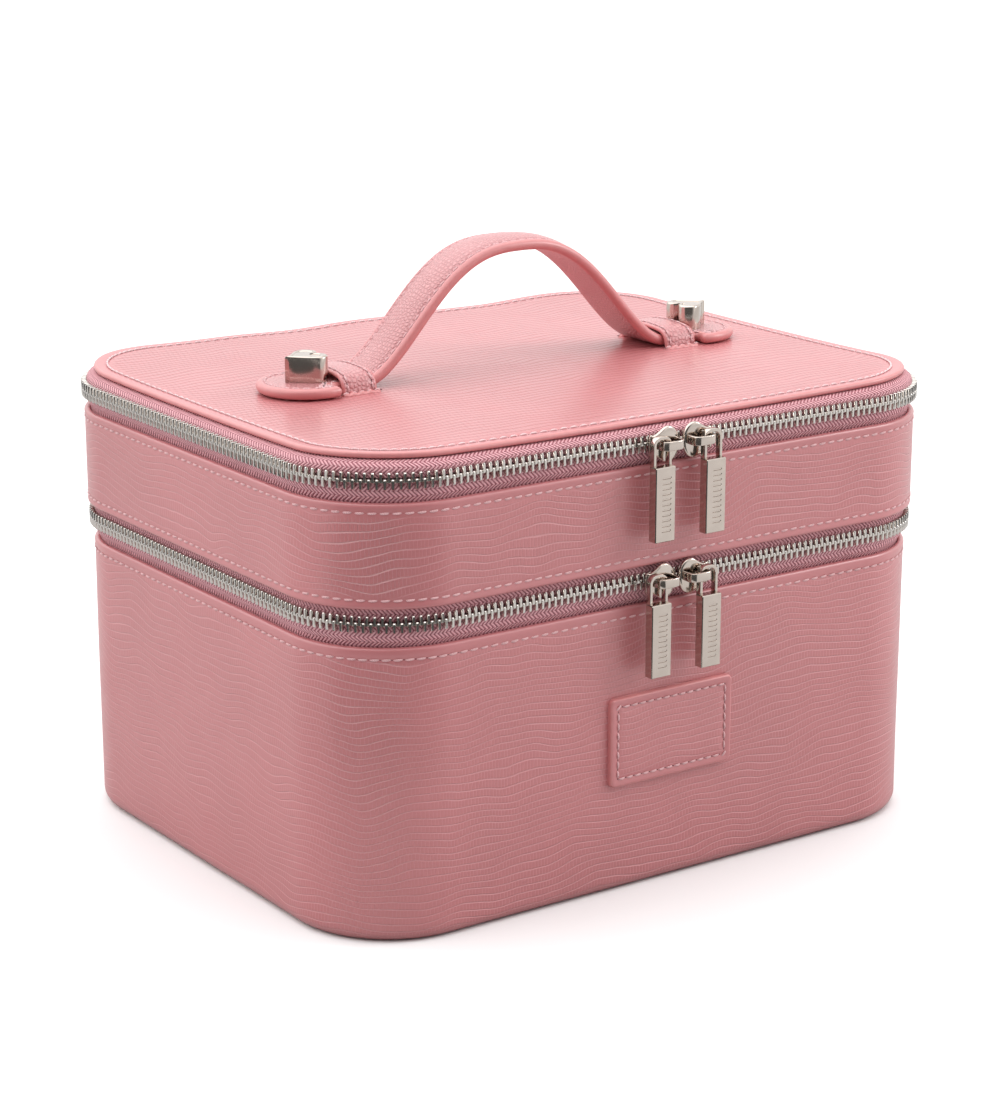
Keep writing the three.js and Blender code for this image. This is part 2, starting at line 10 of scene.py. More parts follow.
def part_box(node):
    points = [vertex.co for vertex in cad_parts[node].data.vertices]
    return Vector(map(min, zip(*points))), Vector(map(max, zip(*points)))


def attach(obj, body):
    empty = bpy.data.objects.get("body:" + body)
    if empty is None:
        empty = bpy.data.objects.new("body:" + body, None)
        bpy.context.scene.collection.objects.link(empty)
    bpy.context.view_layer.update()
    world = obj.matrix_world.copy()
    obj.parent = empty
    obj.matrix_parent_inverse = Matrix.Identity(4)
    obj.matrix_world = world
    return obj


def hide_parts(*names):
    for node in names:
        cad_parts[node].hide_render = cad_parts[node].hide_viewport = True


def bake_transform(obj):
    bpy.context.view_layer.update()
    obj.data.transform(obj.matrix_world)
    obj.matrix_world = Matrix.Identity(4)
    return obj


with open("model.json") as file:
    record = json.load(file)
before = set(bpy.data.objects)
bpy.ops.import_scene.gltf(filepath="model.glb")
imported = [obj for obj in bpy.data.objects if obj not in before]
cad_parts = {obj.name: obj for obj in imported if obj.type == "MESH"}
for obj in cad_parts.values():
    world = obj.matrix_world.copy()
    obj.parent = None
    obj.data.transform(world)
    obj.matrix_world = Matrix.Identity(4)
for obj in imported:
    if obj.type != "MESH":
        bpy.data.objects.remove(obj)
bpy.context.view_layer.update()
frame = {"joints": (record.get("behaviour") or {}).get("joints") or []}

# The makeup train case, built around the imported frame. Shapes are worked out in millimetres and
# written to Blender in metres. Every piece carries "grain" coordinates, which are millimetres
# along and across its surface, so that leather, weave and thread keep their scale everywhere.
# Sections and profiles are lists of (inset from the side, height) or (across, up) points.

MM = 0.001
TAU = 2 * math.pi


def cad(node):
    """The lowest and highest corner of a CAD node, in millimetres."""
    low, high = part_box(node)
    return low / MM, high / MM


# ---------------------------------------------------------------------------- places and sizes
HALF_X, HALF_Y, _ = cad("tier_wall")[1]
CORNER_RADIUS = 38.5
BASE_INSET = HALF_X - cad("base_wall")[1].x
BASE_TOP = cad("base_rim_binding")[1].z
TIER_BOTTOM = cad("tier_bottom_binding")[0].z
TIER_TOP = cad("tier_top_binding")[1].z
LID_INSET = HALF_X - cad("lid_rolled_edge")[1].x
LID_THICKNESS = cad("lid_rolled_edge")[1].z - cad("lid_rolled_edge")[0].z
PANEL_TOP = cad("lid_panel")[1].z
LID_CORNER_RISE = 2.1
LID_BACK_WAVE = 0.4
WALL = 2.1
SHELL_ROLL = 1.05
SHELL_SWELL = 0.28
BASE_FOOT = 4.6

LOWER_ZIP = (cad("lower_zip_teeth_base")[1].z + cad("lower_zip_teeth_tier")[0].z) / 2
UPPER_ZIP = (cad("upper_zip_teeth_tier")[1].z + cad("upper_zip_teeth_lid")[0].z) / 2
LOWER_CHAIN_INSET = HALF_X - cad("lower_zip_teeth_base")[1].x
UPPER_CHAIN_INSET = HALF_X - cad("upper_zip_teeth_lid")[1].x
CHAIN_DEPTH = 1.7
TOOTH_PITCH = 2.45
TOOTH_LEG = 0.50
TOOTH_TOP = 2.75
GAP = 0.3
TAPE = 0.7
TAPE_STOP = 0.75
TAPE_SWELL = 0.16
TAPE_END = HALF_X - CORNER_RADIUS - cad("upper_hinge_strip_tier")[1].x - GAP
BASE_TUCK = BASE_INSET + WALL + GAP
TIER_TUCK = WALL + GAP

STITCH_PITCH = 3.9
STITCH_SHARE = 0.74
STITCH_DEPTH = 3.0
STITCH_DIP = 0.22
STITCH_LEAN = 0.06
STITCH_SIDES = 6
STITCH_RINGS = ((-1.0, 0.25, -0.10), (-0.82, 0.75, 0.10), (-0.35, 1.0, 0.22),
                (0.35, 1.0, 0.22), (0.82, 0.75, 0.10), (1.0, 0.25, -0.10))
THREAD_RADIUS = 0.33
HOLE_RADIUS = 0.40
LID_HOLE_RADIUS = 0.18
BASE_STITCH_DEPTH = 3.7
LID_STITCH_INSET = LID_INSET + 4.6
LID_STITCH_SINK = 0.12

HANDLE_X = sum(c.x for c in cad("handle_crown")) / 2
HANDLE_Y = sum(c.y for c in cad("handle_crown")) / 2
STRAP_HALF = (cad("handle_crown")[1].y - cad("handle_crown")[0].y) / 2
STRAP_BOTTOM = cad("handle_end_left")[0].z
STRAP_EDGE = 3.7
STRAP_CROWN = 1.0
STRAP_STITCH_INSET = 3.0
STRAP_STITCH_PITCH = 3.6
STRAP_RISE = 40.6
STRAP_REACH = 64.5
STRAP_SHAPE = 1.33
STRAP_SPLIT = 65.0
ARM_MIDDLE = 36.0
KEEPER_MIDDLE = sum(c.x for c in cad("keeper_loop_right")) / 2 - HANDLE_X
KEEPER_WING = 3.0
KEEPER_THICKNESS = 1.5
KEEPER_STITCH_INSET = 1.9
WELT_WIDTH, WELT_HEIGHT, WELT_PITCH = 1.5, 0.95, 3.4
TAB_NECK = 8.2
TAB_TIP = cad("handle_end_right")[1].x - HANDLE_X
TAB_RADIUS = (cad("handle_end_right")[1].y - cad("handle_end_right")[0].y) / 2

PULL_BAR_TOP = -6.5
PULL_BAR_FORWARD = 0.9
PULL_LOOP_DEPTH = 3.0
NOTCH_COUNT, NOTCH_PITCH = 11, 1.75

CAMERA_TARGET = (0.0008, 0.0001, 0.0918)
CAMERA_AZIMUTH, CAMERA_ELEVATION, CAMERA_DISTANCE = -34.79, 15.63, 1.0227
CAMERA_LENS = 93.93
CEILING_POWER, CEILING_SPREAD, CEILING_FROM = 1.9, 100, (-0.25, 0.30, 1.0)
DARK_SIDE = (-0.57, -0.82, 0.0)
FLOOR_REACH = 14.0
CARD_TURN, CARD_PARTS, CARD_REACH, CARD_HEIGHT = (-78, 8), 17, (0.30, 6.0), 0.002
SIGN = {"left": -1, "right": 1}


# ------------------------------------------------------------------------------ mesh building
class Shape:
    """Vertices in millimetres, faces with their material slots, and grain for each corner."""

    def __init__(self):
        self.points, self.relief, self.faces, self.slots, self.grain = [], [], [], [], []
        self.count = 0

    def lattice(self, points, grain, wrap=False, slot=0, relief=1.0):
        """Quads between the rows of points. wrap joins each row's end to its start."""
        points, grain = np.asarray(points, float), np.asarray(grain, float)
        rows, columns = points.shape[:2]
        self.points.append(points.reshape(-1, 3))
        self.relief.append(np.broadcast_to(np.asarray(relief, float), (rows, columns)).reshape(-1))
        r, c = np.meshgrid(np.arange(rows - 1), np.arange(columns if wrap else columns - 1), indexing="ij")
        start, after = self.count, (c + 1) % columns
        quads = np.stack([r * columns + c, r * columns + after,
                          (r + 1) * columns + after, (r + 1) * columns + c], -1)
        self.faces += (quads.reshape(-1, 4) + start).tolist()
        corners = np.stack([grain[r, c], grain[r, c + 1], grain[r + 1, c + 1], grain[r + 1, c]], -2)
        self.grain.append(corners.reshape(-1, 2))
        self.slots += np.broadcast_to(slot, quads.shape[:2]).reshape(-1).tolist()
        self.count += rows * columns
        return start

    def cap(self, start, stride, grain, slot=0):
        """One flat face through every stride-th vertex from start, as many as there is grain for."""
        self.faces.append([start + k * stride for k in range(len(grain))])
        self.grain.append(np.asarray(grain, float))
        self.slots.append(slot)

    def solid(self, points, faces, slot=0, grain=None):
        """A small closed form from its own points and faces."""
        points = np.asarray(points, float)
        flat = points[:, :2] if grain is None else np.asarray(grain, float)
        self.points.append(points)
        self.relief.append(np.ones(len(points)))
        for face in faces:
            self.faces.append([i + self.count for i in face])
            self.grain.append(flat[list(face)])
            self.slots.append(slot)
        self.count += len(points)

    def place(self, to_space):
        """Moves every point: to_space takes the three coordinates and gives three new ones."""
        self.points = [np.stack(np.broadcast_arrays(*to_space(*block.T)), -1) for block in self.points]

    def shift_grain(self, along, across):
        """Moves the grain, so that a piece doesn't repeat the pattern of its neighbours."""
        self.grain = [grain + (along, across) for grain in self.grain]

    def build(self, name, materials, finish, *nodes, body=None, sharp=50):
        """Makes the piece: welded, faces outwards and smooth up to an angle. finish is not used,
        nodes are the CAD nodes that it replaces, and body is what it rides on."""
        mesh = bpy.data.meshes.new(name)
        mesh.from_pydata((np.concatenate(self.points) * MM).tolist(), [], self.faces)
        layer = mesh.uv_layers.new(name="grain")
        layer.data.foreach_set("uv", np.concatenate(self.grain).astype(np.float32).ravel())
        attribute = mesh.attributes.new("relief", "FLOAT", "POINT")
        attribute.data.foreach_set("value", np.concatenate(self.relief).astype(np.float32))
        mesh.polygons.foreach_set("material_index", self.slots)
        work = bmesh.new()
        work.from_mesh(mesh)
        bmesh.ops.remove_doubles(work, verts=work.verts, dist=0.002 * MM)
        bmesh.ops.recalc_face_normals(work, faces=work.faces)
        work.to_mesh(mesh)
        work.free()
        mesh.shade_smooth()
        mesh.set_sharp_from_angle(angle=math.radians(sharp))
        for material in materials:
            mesh.materials.append(material)
        piece = bpy.data.objects.new(name, mesh)
        bpy.context.scene.collection.objects.link(piece)
        if body:
            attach(piece, body)
        if nodes:
            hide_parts(*nodes)
        return piece


def rounded(points, times=2):
    """An open line of points with its corners cut smooth, its two ends kept."""
    points = np.asarray(points, float)
    for _ in range(times):
        a, b = points[:-1], points[1:]
        cut = np.stack([0.75 * a + 0.25 * b, 0.25 * a + 0.75 * b], 1).reshape(-1, points.shape[1])
        points = np.concatenate([points[:1], cut, points[-1:]])
    return points


def closed_rounded(points):
    """A closed outline with its corners cut smooth."""
    points = np.asarray(points, float)
    for _ in range(2):
        after = np.roll(points, -1, 0)
        points = np.stack([0.75 * points + 0.25 * after, 0.25 * points + 0.75 * after], 1).reshape(-1, 2)
    return points


def arc(centre_x, centre_y, radius, start, end, steps):
    """Points on an arc between two angles in degrees."""
    angle = np.radians(np.linspace(start, end, steps + 1))
    return np.stack([centre_x + radius * np.cos(angle), centre_y + radius * np.sin(angle)], -1)


def box_outline(width, height, radius, steps, step):
    """A rounded rectangle whose corners tighten as it is inset, always with the same points."""
    gaps = [max(1, int((size - 2 * radius) / step)) for size in (width, height)]

    def outline(inset):
        keep = max(radius - inset, 0.02)
        x, y = width / 2 - inset - keep, height / 2 - inset - keep
        places = ((x, y), (-x, y), (-x, -y), (x, -y))
        corners = [arc(*place, keep, 90 * i, 90 * i + 90, steps) for i, place in enumerate(places)]
        points = []
        for i, corner in enumerate(corners):
            follow = corners[(i + 1) % 4][0]
            share = np.linspace(0, 1, gaps[i % 2] + 1)[1:-1, None]
            points += [corner, corner[-1] + (follow - corner[-1]) * share]
        return np.concatenate(points)

    return outline


def inset_outline(outline, inset):
    """A closed anticlockwise outline moved inwards, or a function's outline for that inset."""
    if callable(outline):
        return outline(inset)
    along = np.roll(outline, -1, 0) - np.roll(outline, 1, 0)
    along /= np.linalg.norm(along, axis=1)[:, None]
    outward = np.stack([along[:, 1], -along[:, 0]], -1)
    return outline - outward * inset


def directions(points):
    """The unit direction of a line at each of its points."""
    along = np.gradient(points, axis=0)
    return along / np.linalg.norm(along, axis=1)[:, None]


def travelled(points):
    """Distance along a line, one value for each of its points."""
    steps = np.linalg.norm(np.diff(np.asarray(points, float), axis=0), axis=1)
    return np.concatenate([[0], np.cumsum(steps)])


def closed(points):
    """A line of points with its first one added at the end."""
    return np.concatenate([points, points[:1]])


def smoothstep(value, start, end):
    """A smooth rise from 0 at start to 1 at end."""
    share = np.clip((np.asarray(value, float) - start) / (end - start), 0, 1)
    return share * share * (3 - 2 * share)


# ------------------------------------------------------------------------------- the case plan
class Plan:
    """The rounded plan of the case, walked anticlockwise from the middle of the back."""

    def __init__(self):
        x, y = HALF_X - CORNER_RADIUS, HALF_Y - CORNER_RADIUS
        quarter = CORNER_RADIUS * TAU / 4
        runs = [x, quarter, 2 * y, quarter, 2 * x, quarter, 2 * y, quarter, x]
        self.knots = np.concatenate([[0], np.cumsum(runs)])
        self.length = self.knots[-1]
        self.core_x = [0, -x, -x, -x, -x, x, x, x, x, 0]
        self.core_y = [y, y, y, -y, -y, -y, -y, y, y, y]
        self.turn = np.radians([90, 90, 180, 180, 270, 270, 360, 360, 450, 450])
        self.zip_start, self.zip_end = self.knots[1], self.knots[-2]

    def at(self, distance):
        """Core point and outward normal at a distance along the wall."""
        core = np.stack([np.interp(distance, self.knots, self.core_x),
                         np.interp(distance, self.knots, self.core_y)], -1)
        turn = np.interp(distance, self.knots, self.turn)
        return core, np.stack([np.cos(turn), np.sin(turn)], -1)

    def samples(self, start, end, straight=3.0, corner=1.5):
        """Distances from start to end, closer together round the corners."""
        marks = [start, *[k for k in self.knots if start < k < end], end]
        stops = []
        for a, b in zip(marks, marks[1:]):
            _, (one, two) = self.at(np.array([a, b]))
            step = straight if np.allclose(one, two) else corner
            stops.append(np.linspace(a, b, max(2, int((b - a) / step) + 1))[:-1])
        return np.concatenate([*stops, [end]])

    def points(self, distances, profile):
        """Rows of points, one row for each (inset, z) of the profile."""
        core, normal = self.at(distances)
        profile = np.asarray(profile, float)
        radius = (CORNER_RADIUS - profile[:, 0])[:, None, None]
        flat = core[None] + radius * normal[None]
        height = np.broadcast_to(profile[:, 1][:, None, None], (*flat.shape[:2], 1))
        return np.concatenate([flat, height], -1)

    def outline(self, inset, straight=4.0, corner=1.6):
        """The case's outline at an inset, as one closed line of points."""
        distances = self.samples(0, self.length, straight, corner)[:-1]
        return self.points(distances, [(inset, 0.0)])[0][:, :2]

    def corner_share(self, distances):
        """How far each distance is into a corner: 1 in its middle, 0 on the flats."""
        middles = (self.knots[1:8:2] + self.knots[2:9:2]) / 2
        away = np.min(np.abs(distances[:, None] - middles), axis=1)
        return 1 - smoothstep(away, 7, 18)


plan = Plan()


def ripple(x, y, z, size, seed=0.0):
    """Smooth noise from -1 to 1 over a size in millimetres."""
    return noise.noise(Vector((x / size + seed, y / size, z / size)))


def swell(points, amount, size, seed):
    """Points moved out from and in to the middle of the case, as leather over board swells."""
    push = amount * np.array([[ripple(*point, size, seed) for point in row] for row in points])
    flat = points[..., :2]
    share = push / np.hypot(flat[..., 0], flat[..., 1])
    return np.concatenate([flat * (1 + share[..., None]), points[..., 2:]], -1)


def lid_height(x, y):
    """Height of the lid's top surface: raised corners, slack middles and a wavy back edge."""
    across = np.clip(np.abs(x) / (HALF_X - LID_INSET), 0, 1)
    deep = np.clip(np.abs(y) / (HALF_Y - LID_INSET), 0, 1)
    rise = LID_CORNER_RISE * (across * deep) ** 3
    back = smoothstep(y, HALF_Y - 30, HALF_Y - 4) * (1 - smoothstep(np.abs(x), 60, 105))
    wave = LID_BACK_WAVE * back * (np.sin(x / 13.0 + 0.6) * 0.6 + np.sin(x / 7.1 + 2.0) * 0.4)
    slack = 0.14 * np.sin(x / 41.0 + 0.8) * np.cos(y / 33.0) * (1 - deep ** 4) * (1 - across ** 4)
    return PANEL_TOP + rise + wave + slack


def level(z):
    """A flat surface at a height, as a function of x and y."""
    return lambda x, y: np.full(np.shape(x), float(z))


def ring(shape, profile, start=0.0, end=None, relief=1.0, corner_relief_and_painted_reflection=0.0, lift=None, grain_from=0.0):
    """Sweeps a closed (inset, z) profile round the plan, all the way round or from start to end.
    relief and corner_relief_and_painted_reflection are one value, or one for each point of the closed profile."""
    whole = end is None
    distances = plan.samples(0, plan.length) if whole else plan.samples(start, end)
    looped = closed(profile)
    columns = distances[:-1] if whole else distances
    points = plan.points(columns, looped)
    if lift is not None:
        points = lift(points)
    run = travelled(looped) + grain_from
    grain = np.stack(np.broadcast_arrays(distances[None, :], run[:, None]), -1)
    # Towards the corners the relief is raised. This deepens the emboss and also paints the lighter line colour
    # stronger, as a painted reflection of the shiny corners.
    extra = np.reshape(corner_relief_and_painted_reflection, (-1, 1)) * plan.corner_share(columns)[None]
    relief = np.reshape(relief, (-1, 1)) * (1 + extra)
    first = shape.lattice(points, grain, wrap=whole, relief=relief)
    if not whole:
        for column in (0, len(columns) - 1):
            shape.cap(first + column, len(columns), profile)


def centre_rows(rim, height, steps):
    """Rows of points from a closed rim to its middle, on a surface given by height(x, y)."""
    middle = rim[:, :2].mean(0)
    rows = []
    for share in np.linspace(1, 0, steps + 1)[1:]:
        flat = middle + (rim[:, :2] - middle) * share
        rows.append(np.column_stack([flat, height(flat[:, 0], flat[:, 1])]))
    return rows


UNDER_ROWS = 3


def pad(shape, outline, profile, height, steps, slot=0, relief=1.0):
    """A closed plate: rings of (inset, lift) from its underside round its edge to its top, and
    both middles filled. height(x, y) is the surface that the lifts are measured from."""
    rows = []
    for inset, lift in profile:
        flat = inset_outline(outline, inset)
        rows.append(np.column_stack([flat, height(flat[:, 0], flat[:, 1]) + lift]))
    top = centre_rows(rows[-1], lambda x, y: height(x, y) + profile[-1][1], steps)
    under = centre_rows(rows[0], lambda x, y: height(x, y) + profile[0][1], UNDER_ROWS)
    points = np.array([*under[::-1], *rows, *top])
    grain = np.concatenate([points[..., :2], points[:, :1, :2]], 1)
    shape.lattice(points, grain, wrap=True, slot=slot, relief=relief)


def edge_slots(rows, first, count):
    """Material slots for a plate's bands of faces: count of them from first are turned edge."""
    slots = np.zeros((rows, 1), int)
    slots[first:first + count] = 1
    return slots


def ribbon(shape, path, section, along_axis, across, slot=0, grain_from=0.0):
    """Sweeps a closed (across, up) section along a path of (along, z) points.
    along_axis is 0 for a path that runs in X and 1 for one that runs in Y."""
    path, section = np.asarray(path, float), np.asarray(section, float)
    direction = directions(path)
    up = np.stack([-direction[:, 1], direction[:, 0]], -1)
    flat = path[:, None] + up[:, None] * section[None, :, 1:2]
    wide = np.broadcast_to(section[None, :, 0] + across, flat.shape[:2])
    parts = (flat[..., 0], wide, flat[..., 1]) if along_axis == 0 else (wide, flat[..., 0], flat[..., 1])
    run, round_it = travelled(path) + grain_from, travelled(closed(section))
    grain = np.stack(np.broadcast_arrays(run[:, None], round_it[None, :]), -1)
    first = shape.lattice(np.stack(parts, -1), grain, wrap=True, slot=slot)
    for row in (0, len(path) - 1):
        shape.cap(first + row * len(section), 1, section)


# ---------------------------------------------------------------------------------- materials
def node(tree, kind, inputs=None, **settings):
    """Adds a shader node, sets it and fills its inputs with values or links."""
    made = tree.nodes.new("ShaderNode" + kind)
    for key, value in settings.items():
        setattr(made, key, value)
    for key, value in (inputs or {}).items():
        if isinstance(value, bpy.types.NodeSocket):
            tree.links.new(value, made.inputs[key])
        else:
            made.inputs[key].default_value = value
    return made


def calc(tree, operation, a, b=0.0):
    """A number worked out in a shader."""
    return node(tree, "Math", {0: a, 1: b}, operation=operation).outputs[0]


def vector(tree, operation, a, b):
    """A vector worked out in a shader."""
    return node(tree, "VectorMath", {0: a, 1: b}, operation=operation).outputs[0]


def fade(tree, value, start, end, low=0.0, high=1.0):
    """value mapped smoothly from start..end to low..high."""
    inputs = {"Value": value, "From Min": start, "From Max": end, "To Min": low, "To Max": high}
    return node(tree, "MapRange", inputs, interpolation_type="SMOOTHSTEP").outputs["Result"]


def speckle(tree, place, scale, detail=2.0, roughness=0.5):
    """Soft noise at a place on the grain. scale is in spots for each millimetre."""
    inputs = {"Vector": place, "Scale": scale, "Detail": detail, "Roughness": roughness}
    return node(tree, "TexNoise", inputs)


def blend_colour(tree, factor, a, b):
    """Colour a where the factor is 0 and colour b where it is 1."""
    made = node(tree, "Mix", {"Factor": factor}, data_type="RGBA")
    for index, value in ((6, a), (7, b)):
        if isinstance(value, bpy.types.NodeSocket):
            tree.links.new(value, made.inputs[index])
        else:
            made.inputs[index].default_value = (*value, 1)
    return made.outputs[2]


def surface(name, **sockets):
    """A material with its Principled shader, and the grain coordinates in millimetres."""
    material = bpy.data.materials.new(name)
    material.use_nodes = True
    tree = material.node_tree
    shader = tree.nodes["Principled BSDF"]
    for key, value in sockets.items():
        shader.inputs[key.replace("_", " ")].default_value = value
    grain = node(tree, "UVMap", uv_map="grain").outputs["UV"]
    return material, tree, shader, grain


def bump(tree, shader, height, distance):
    """Relief on a surface: a height of 1 stands for a distance in millimetres."""
    inputs = {"Height": height, "Distance": distance * MM}
    tree.links.new(node(tree, "Bump", inputs).outputs["Normal"], shader.inputs["Normal"])


PINK = (0.58, 0.182, 0.192)
PINK_LINE = (0.74, 0.36, 0.37)
SALMON = (0.68, 0.235, 0.235)


def lizard_leather(name, cell, row, line, depth, drift, drift_size, cell_weight, contrast, line_colour):
    """Embossed leather: wavy rows crossed by short lines into narrow brick-like cells."""
    material, tree, shader, grain = surface(
        name, **{"Specular IOR Level": 0.95, "Coat Weight": 0.45, "Coat Roughness": 0.26})
    slow = speckle(tree, grain, 1 / drift_size, 1.2).outputs["Color"]
    quick = speckle(tree, grain, 1 / 9.0, 1.0).outputs["Color"]
    moved = grain
    for cloud, width, height in ((slow, 2 * drift[0], 2 * drift[1]), (quick, 0.9 * cell, 0.35 * row)):
        centred = vector(tree, "SUBTRACT", cloud, (0.5, 0.5, 0.5))
        moved = vector(tree, "ADD", moved, vector(tree, "MULTIPLY", centred, (width, height, 0)))
    parts = node(tree, "SeparateXYZ", {0: moved})
    to_row = calc(tree, "PINGPONG", parts.outputs["Y"], row / 2)
    rows = fade(tree, to_row, 0.04, line, 1.0, 0.0)
    bricks = node(tree, "TexBrick", {
        "Vector": moved, "Scale": 1.0, "Mortar Size": 0.16, "Mortar Smooth": 1.0, "Bias": 0.0,
        "Brick Width": cell, "Row Height": row,
    }, offset=0.5, offset_frequency=2).outputs["Fac"]
    amount = speckle(tree, grain, 1 / 24.0, 1.0).outputs["Fac"]
    strong = fade(tree, amount, 0.30, 0.70, 0.6, 1.0)
    cells = calc(tree, "MULTIPLY", bricks, strong)
    # The relief attribute also scales the lines' colour, so where it is raised at the corners the lighter
    # lines are painted in as painted reflection.
    relief = node(tree, "Attribute", attribute_name="relief").outputs["Fac"]
    lines = calc(tree, "ADD", rows, calc(tree, "MULTIPLY", cells, cell_weight))
    lines = calc(tree, "MULTIPLY", calc(tree, "MINIMUM", lines, 1.0), relief)
    pores = speckle(tree, grain, 3.0, 3.0, 0.6).outputs["Fac"]
    height = calc(tree, "SUBTRACT", calc(tree, "MULTIPLY", pores, 0.16), lines)
    bump(tree, shader, height, depth)
    cloud = speckle(tree, grain, 1 / 60.0, 2.0).outputs["Fac"]
    dull, bright = (tuple(share * v for v in PINK) for share in (0.965, 1.03))
    tone = blend_colour(tree, fade(tree, cloud, 0.3, 0.7), dull, bright)
    lit = blend_colour(tree, calc(tree, "MULTIPLY", lines, contrast), tone, line_colour)
    tree.links.new(lit, shader.inputs["Base Color"])
    worn = calc(tree, "ADD", calc(tree, "MULTIPLY", lines, 0.16), calc(tree, "MULTIPLY", pores, 0.10))
    scuff = fade(tree, speckle(tree, grain, 1 / 17.0, 4.0, 0.65).outputs["Fac"], 0.45, 0.75, 0.0, 0.07)
    tree.links.new(calc(tree, "ADD", calc(tree, "ADD", worn, scuff), 0.31), shader.inputs["Roughness"])
    return material


def pebble_leather(name, size, stretch, depth, light, dark):
    """Leather embossed with small rounded scales. stretch is their length across the rows."""
    material, tree, shader, grain = surface(
        name, **{"Specular IOR Level": 0.95, "Coat Weight": 0.45, "Coat Roughness": 0.28})
    wander = speckle(tree, grain, 1 / 26.0, 1.0).outputs["Color"]
    moved = vector(tree, "ADD", grain, vector(tree, "MULTIPLY", wander, (4.0, 7.0, 0)))
    scaled = node(tree, "Mapping", {"Vector": moved, "Scale": (1 / size, 1 / (size * stretch), 1)}).outputs[0]
    cells = node(tree, "TexVoronoi", {"Vector": scaled, "Scale": 1.0, "Randomness": 0.7},
                 feature="DISTANCE_TO_EDGE", voronoi_dimensions="2D").outputs["Distance"]
    relief = node(tree, "Attribute", attribute_name="relief").outputs["Fac"]
    groove = calc(tree, "MULTIPLY", fade(tree, cells, 0.02, 0.34, 1.0, 0.0), relief)
    pores = speckle(tree, grain, 3.0, 3.0, 0.6).outputs["Fac"]
    bump(tree, shader, calc(tree, "SUBTRACT", calc(tree, "MULTIPLY", pores, 0.15), groove), depth)
    cloud = speckle(tree, grain, 1 / 50.0, 2.0).outputs["Fac"]
    tone = blend_colour(tree, fade(tree, cloud, 0.3, 0.7), tuple(0.96 * v for v in light), light)
    lit = blend_colour(tree, calc(tree, "MULTIPLY", groove, 0.65), tone, dark)
    tree.links.new(lit, shader.inputs["Base Color"])
    tree.links.new(calc(tree, "ADD", calc(tree, "MULTIPLY", pores, 0.12), 0.32), shader.inputs["Roughness"])
    return material


def smooth_leather(name, colour, roughness=0.38):
    """Turned and painted edges: nearly plain, with fine pores and soft marks."""
    material, tree, shader, grain = surface(
        name, **{"Specular IOR Level": 0.8, "Coat Weight": 0.3, "Coat Roughness": 0.3})
    pores = speckle(tree, grain, 2.2, 4.0, 0.6).outputs["Fac"]
    creases = speckle(tree, grain, 0.35, 3.0, 0.5).outputs["Fac"]
    height = calc(tree, "ADD", calc(tree, "MULTIPLY", pores, 0.5), creases)
    bump(tree, shader, height, 0.07)
    tone = blend_colour(tree, fade(tree, creases, 0.35, 0.65), tuple(0.95 * v for v in colour), colour)
    tree.links.new(tone, shader.inputs["Base Color"])
    rough = calc(tree, "ADD", calc(tree, "MULTIPLY", pores, 0.14), roughness - 0.07)
    tree.links.new(rough, shader.inputs["Roughness"])
    return material


def zip_tape(name, colour, shade):
    """Herringbone weave: slanting threads that change direction in narrow columns."""
    material, tree, shader, grain = surface(
        name, **{"Specular IOR Level": 0.3, "Sheen Weight": 0.1, "Sheen Roughness": 0.4})
    parts = node(tree, "SeparateXYZ", {0: grain})
    slant = calc(tree, "PINGPONG", parts.outputs["Y"], 2.0)
    along = calc(tree, "ADD", parts.outputs["X"], calc(tree, "MULTIPLY", slant, 1.0))
    wave = calc(tree, "SINE", calc(tree, "MULTIPLY", along, TAU / 1.5))
    column = calc(tree, "PINGPONG", parts.outputs["Y"], 1.0)
    valley = fade(tree, column, 0.0, 0.16, 1.0, 0.0)
    fuzz = speckle(tree, grain, 4.0, 3.0, 0.7).outputs["Fac"]
    height = calc(tree, "ADD", calc(tree, "MULTIPLY", wave, 0.5), calc(tree, "MULTIPLY", fuzz, 0.6))
    height = calc(tree, "SUBTRACT", height, calc(tree, "MULTIPLY", valley, 0.35))
    bump(tree, shader, height, 0.30)
    mix = fade(tree, height, -0.3, 0.6)
    tree.links.new(blend_colour(tree, mix, shade, colour), shader.inputs["Base Color"])
    tree.links.new(calc(tree, "ADD", calc(tree, "MULTIPLY", fuzz, 0.2), 0.62), shader.inputs["Roughness"])
    return material


def thread(name, colour, shade):
    """Twisted sewing thread."""
    material, tree, shader, grain = surface(name, **{"Specular IOR Level": 0.4, "Sheen Weight": 0.3})
    parts = node(tree, "SeparateXYZ", {0: grain})
    twist = calc(tree, "ADD", parts.outputs["X"], calc(tree, "MULTIPLY", parts.outputs["Y"], 0.7))
    wave = calc(tree, "SINE", calc(tree, "MULTIPLY", twist, TAU / 0.55))
    bump(tree, shader, wave, 0.04)
    tree.links.new(blend_colour(tree, fade(tree, wave, -1, 0.6), shade, colour), shader.inputs["Base Color"])
    tree.links.new(fade(tree, wave, -1, 1, 0.62, 0.48), shader.inputs["Roughness"])
    return material


def polished_metal(name, colour, roughness, marks=0.06):
    """Plated metal with faint hairlines and slight unevenness."""
    material, tree, shader, grain = surface(name, Metallic=1.0)
    stretched = node(tree, "Mapping", {"Vector": grain, "Scale": (0.5, 6.0, 1.0)}).outputs[0]
    hair = speckle(tree, stretched, 1.4, 4.0, 0.7).outputs["Fac"]
    cloud = speckle(tree, grain, 0.25, 2.0).outputs["Fac"]
    bump(tree, shader, calc(tree, "ADD", calc(tree, "MULTIPLY", hair, 0.25), cloud), 0.02)
    tone = blend_colour(tree, fade(tree, cloud, 0.3, 0.7), tuple(0.94 * v for v in colour), colour)
    tree.links.new(tone, shader.inputs["Base Color"])
    tree.links.new(fade(tree, hair, 0.3, 0.75, roughness, roughness + marks), shader.inputs["Roughness"])
    return material


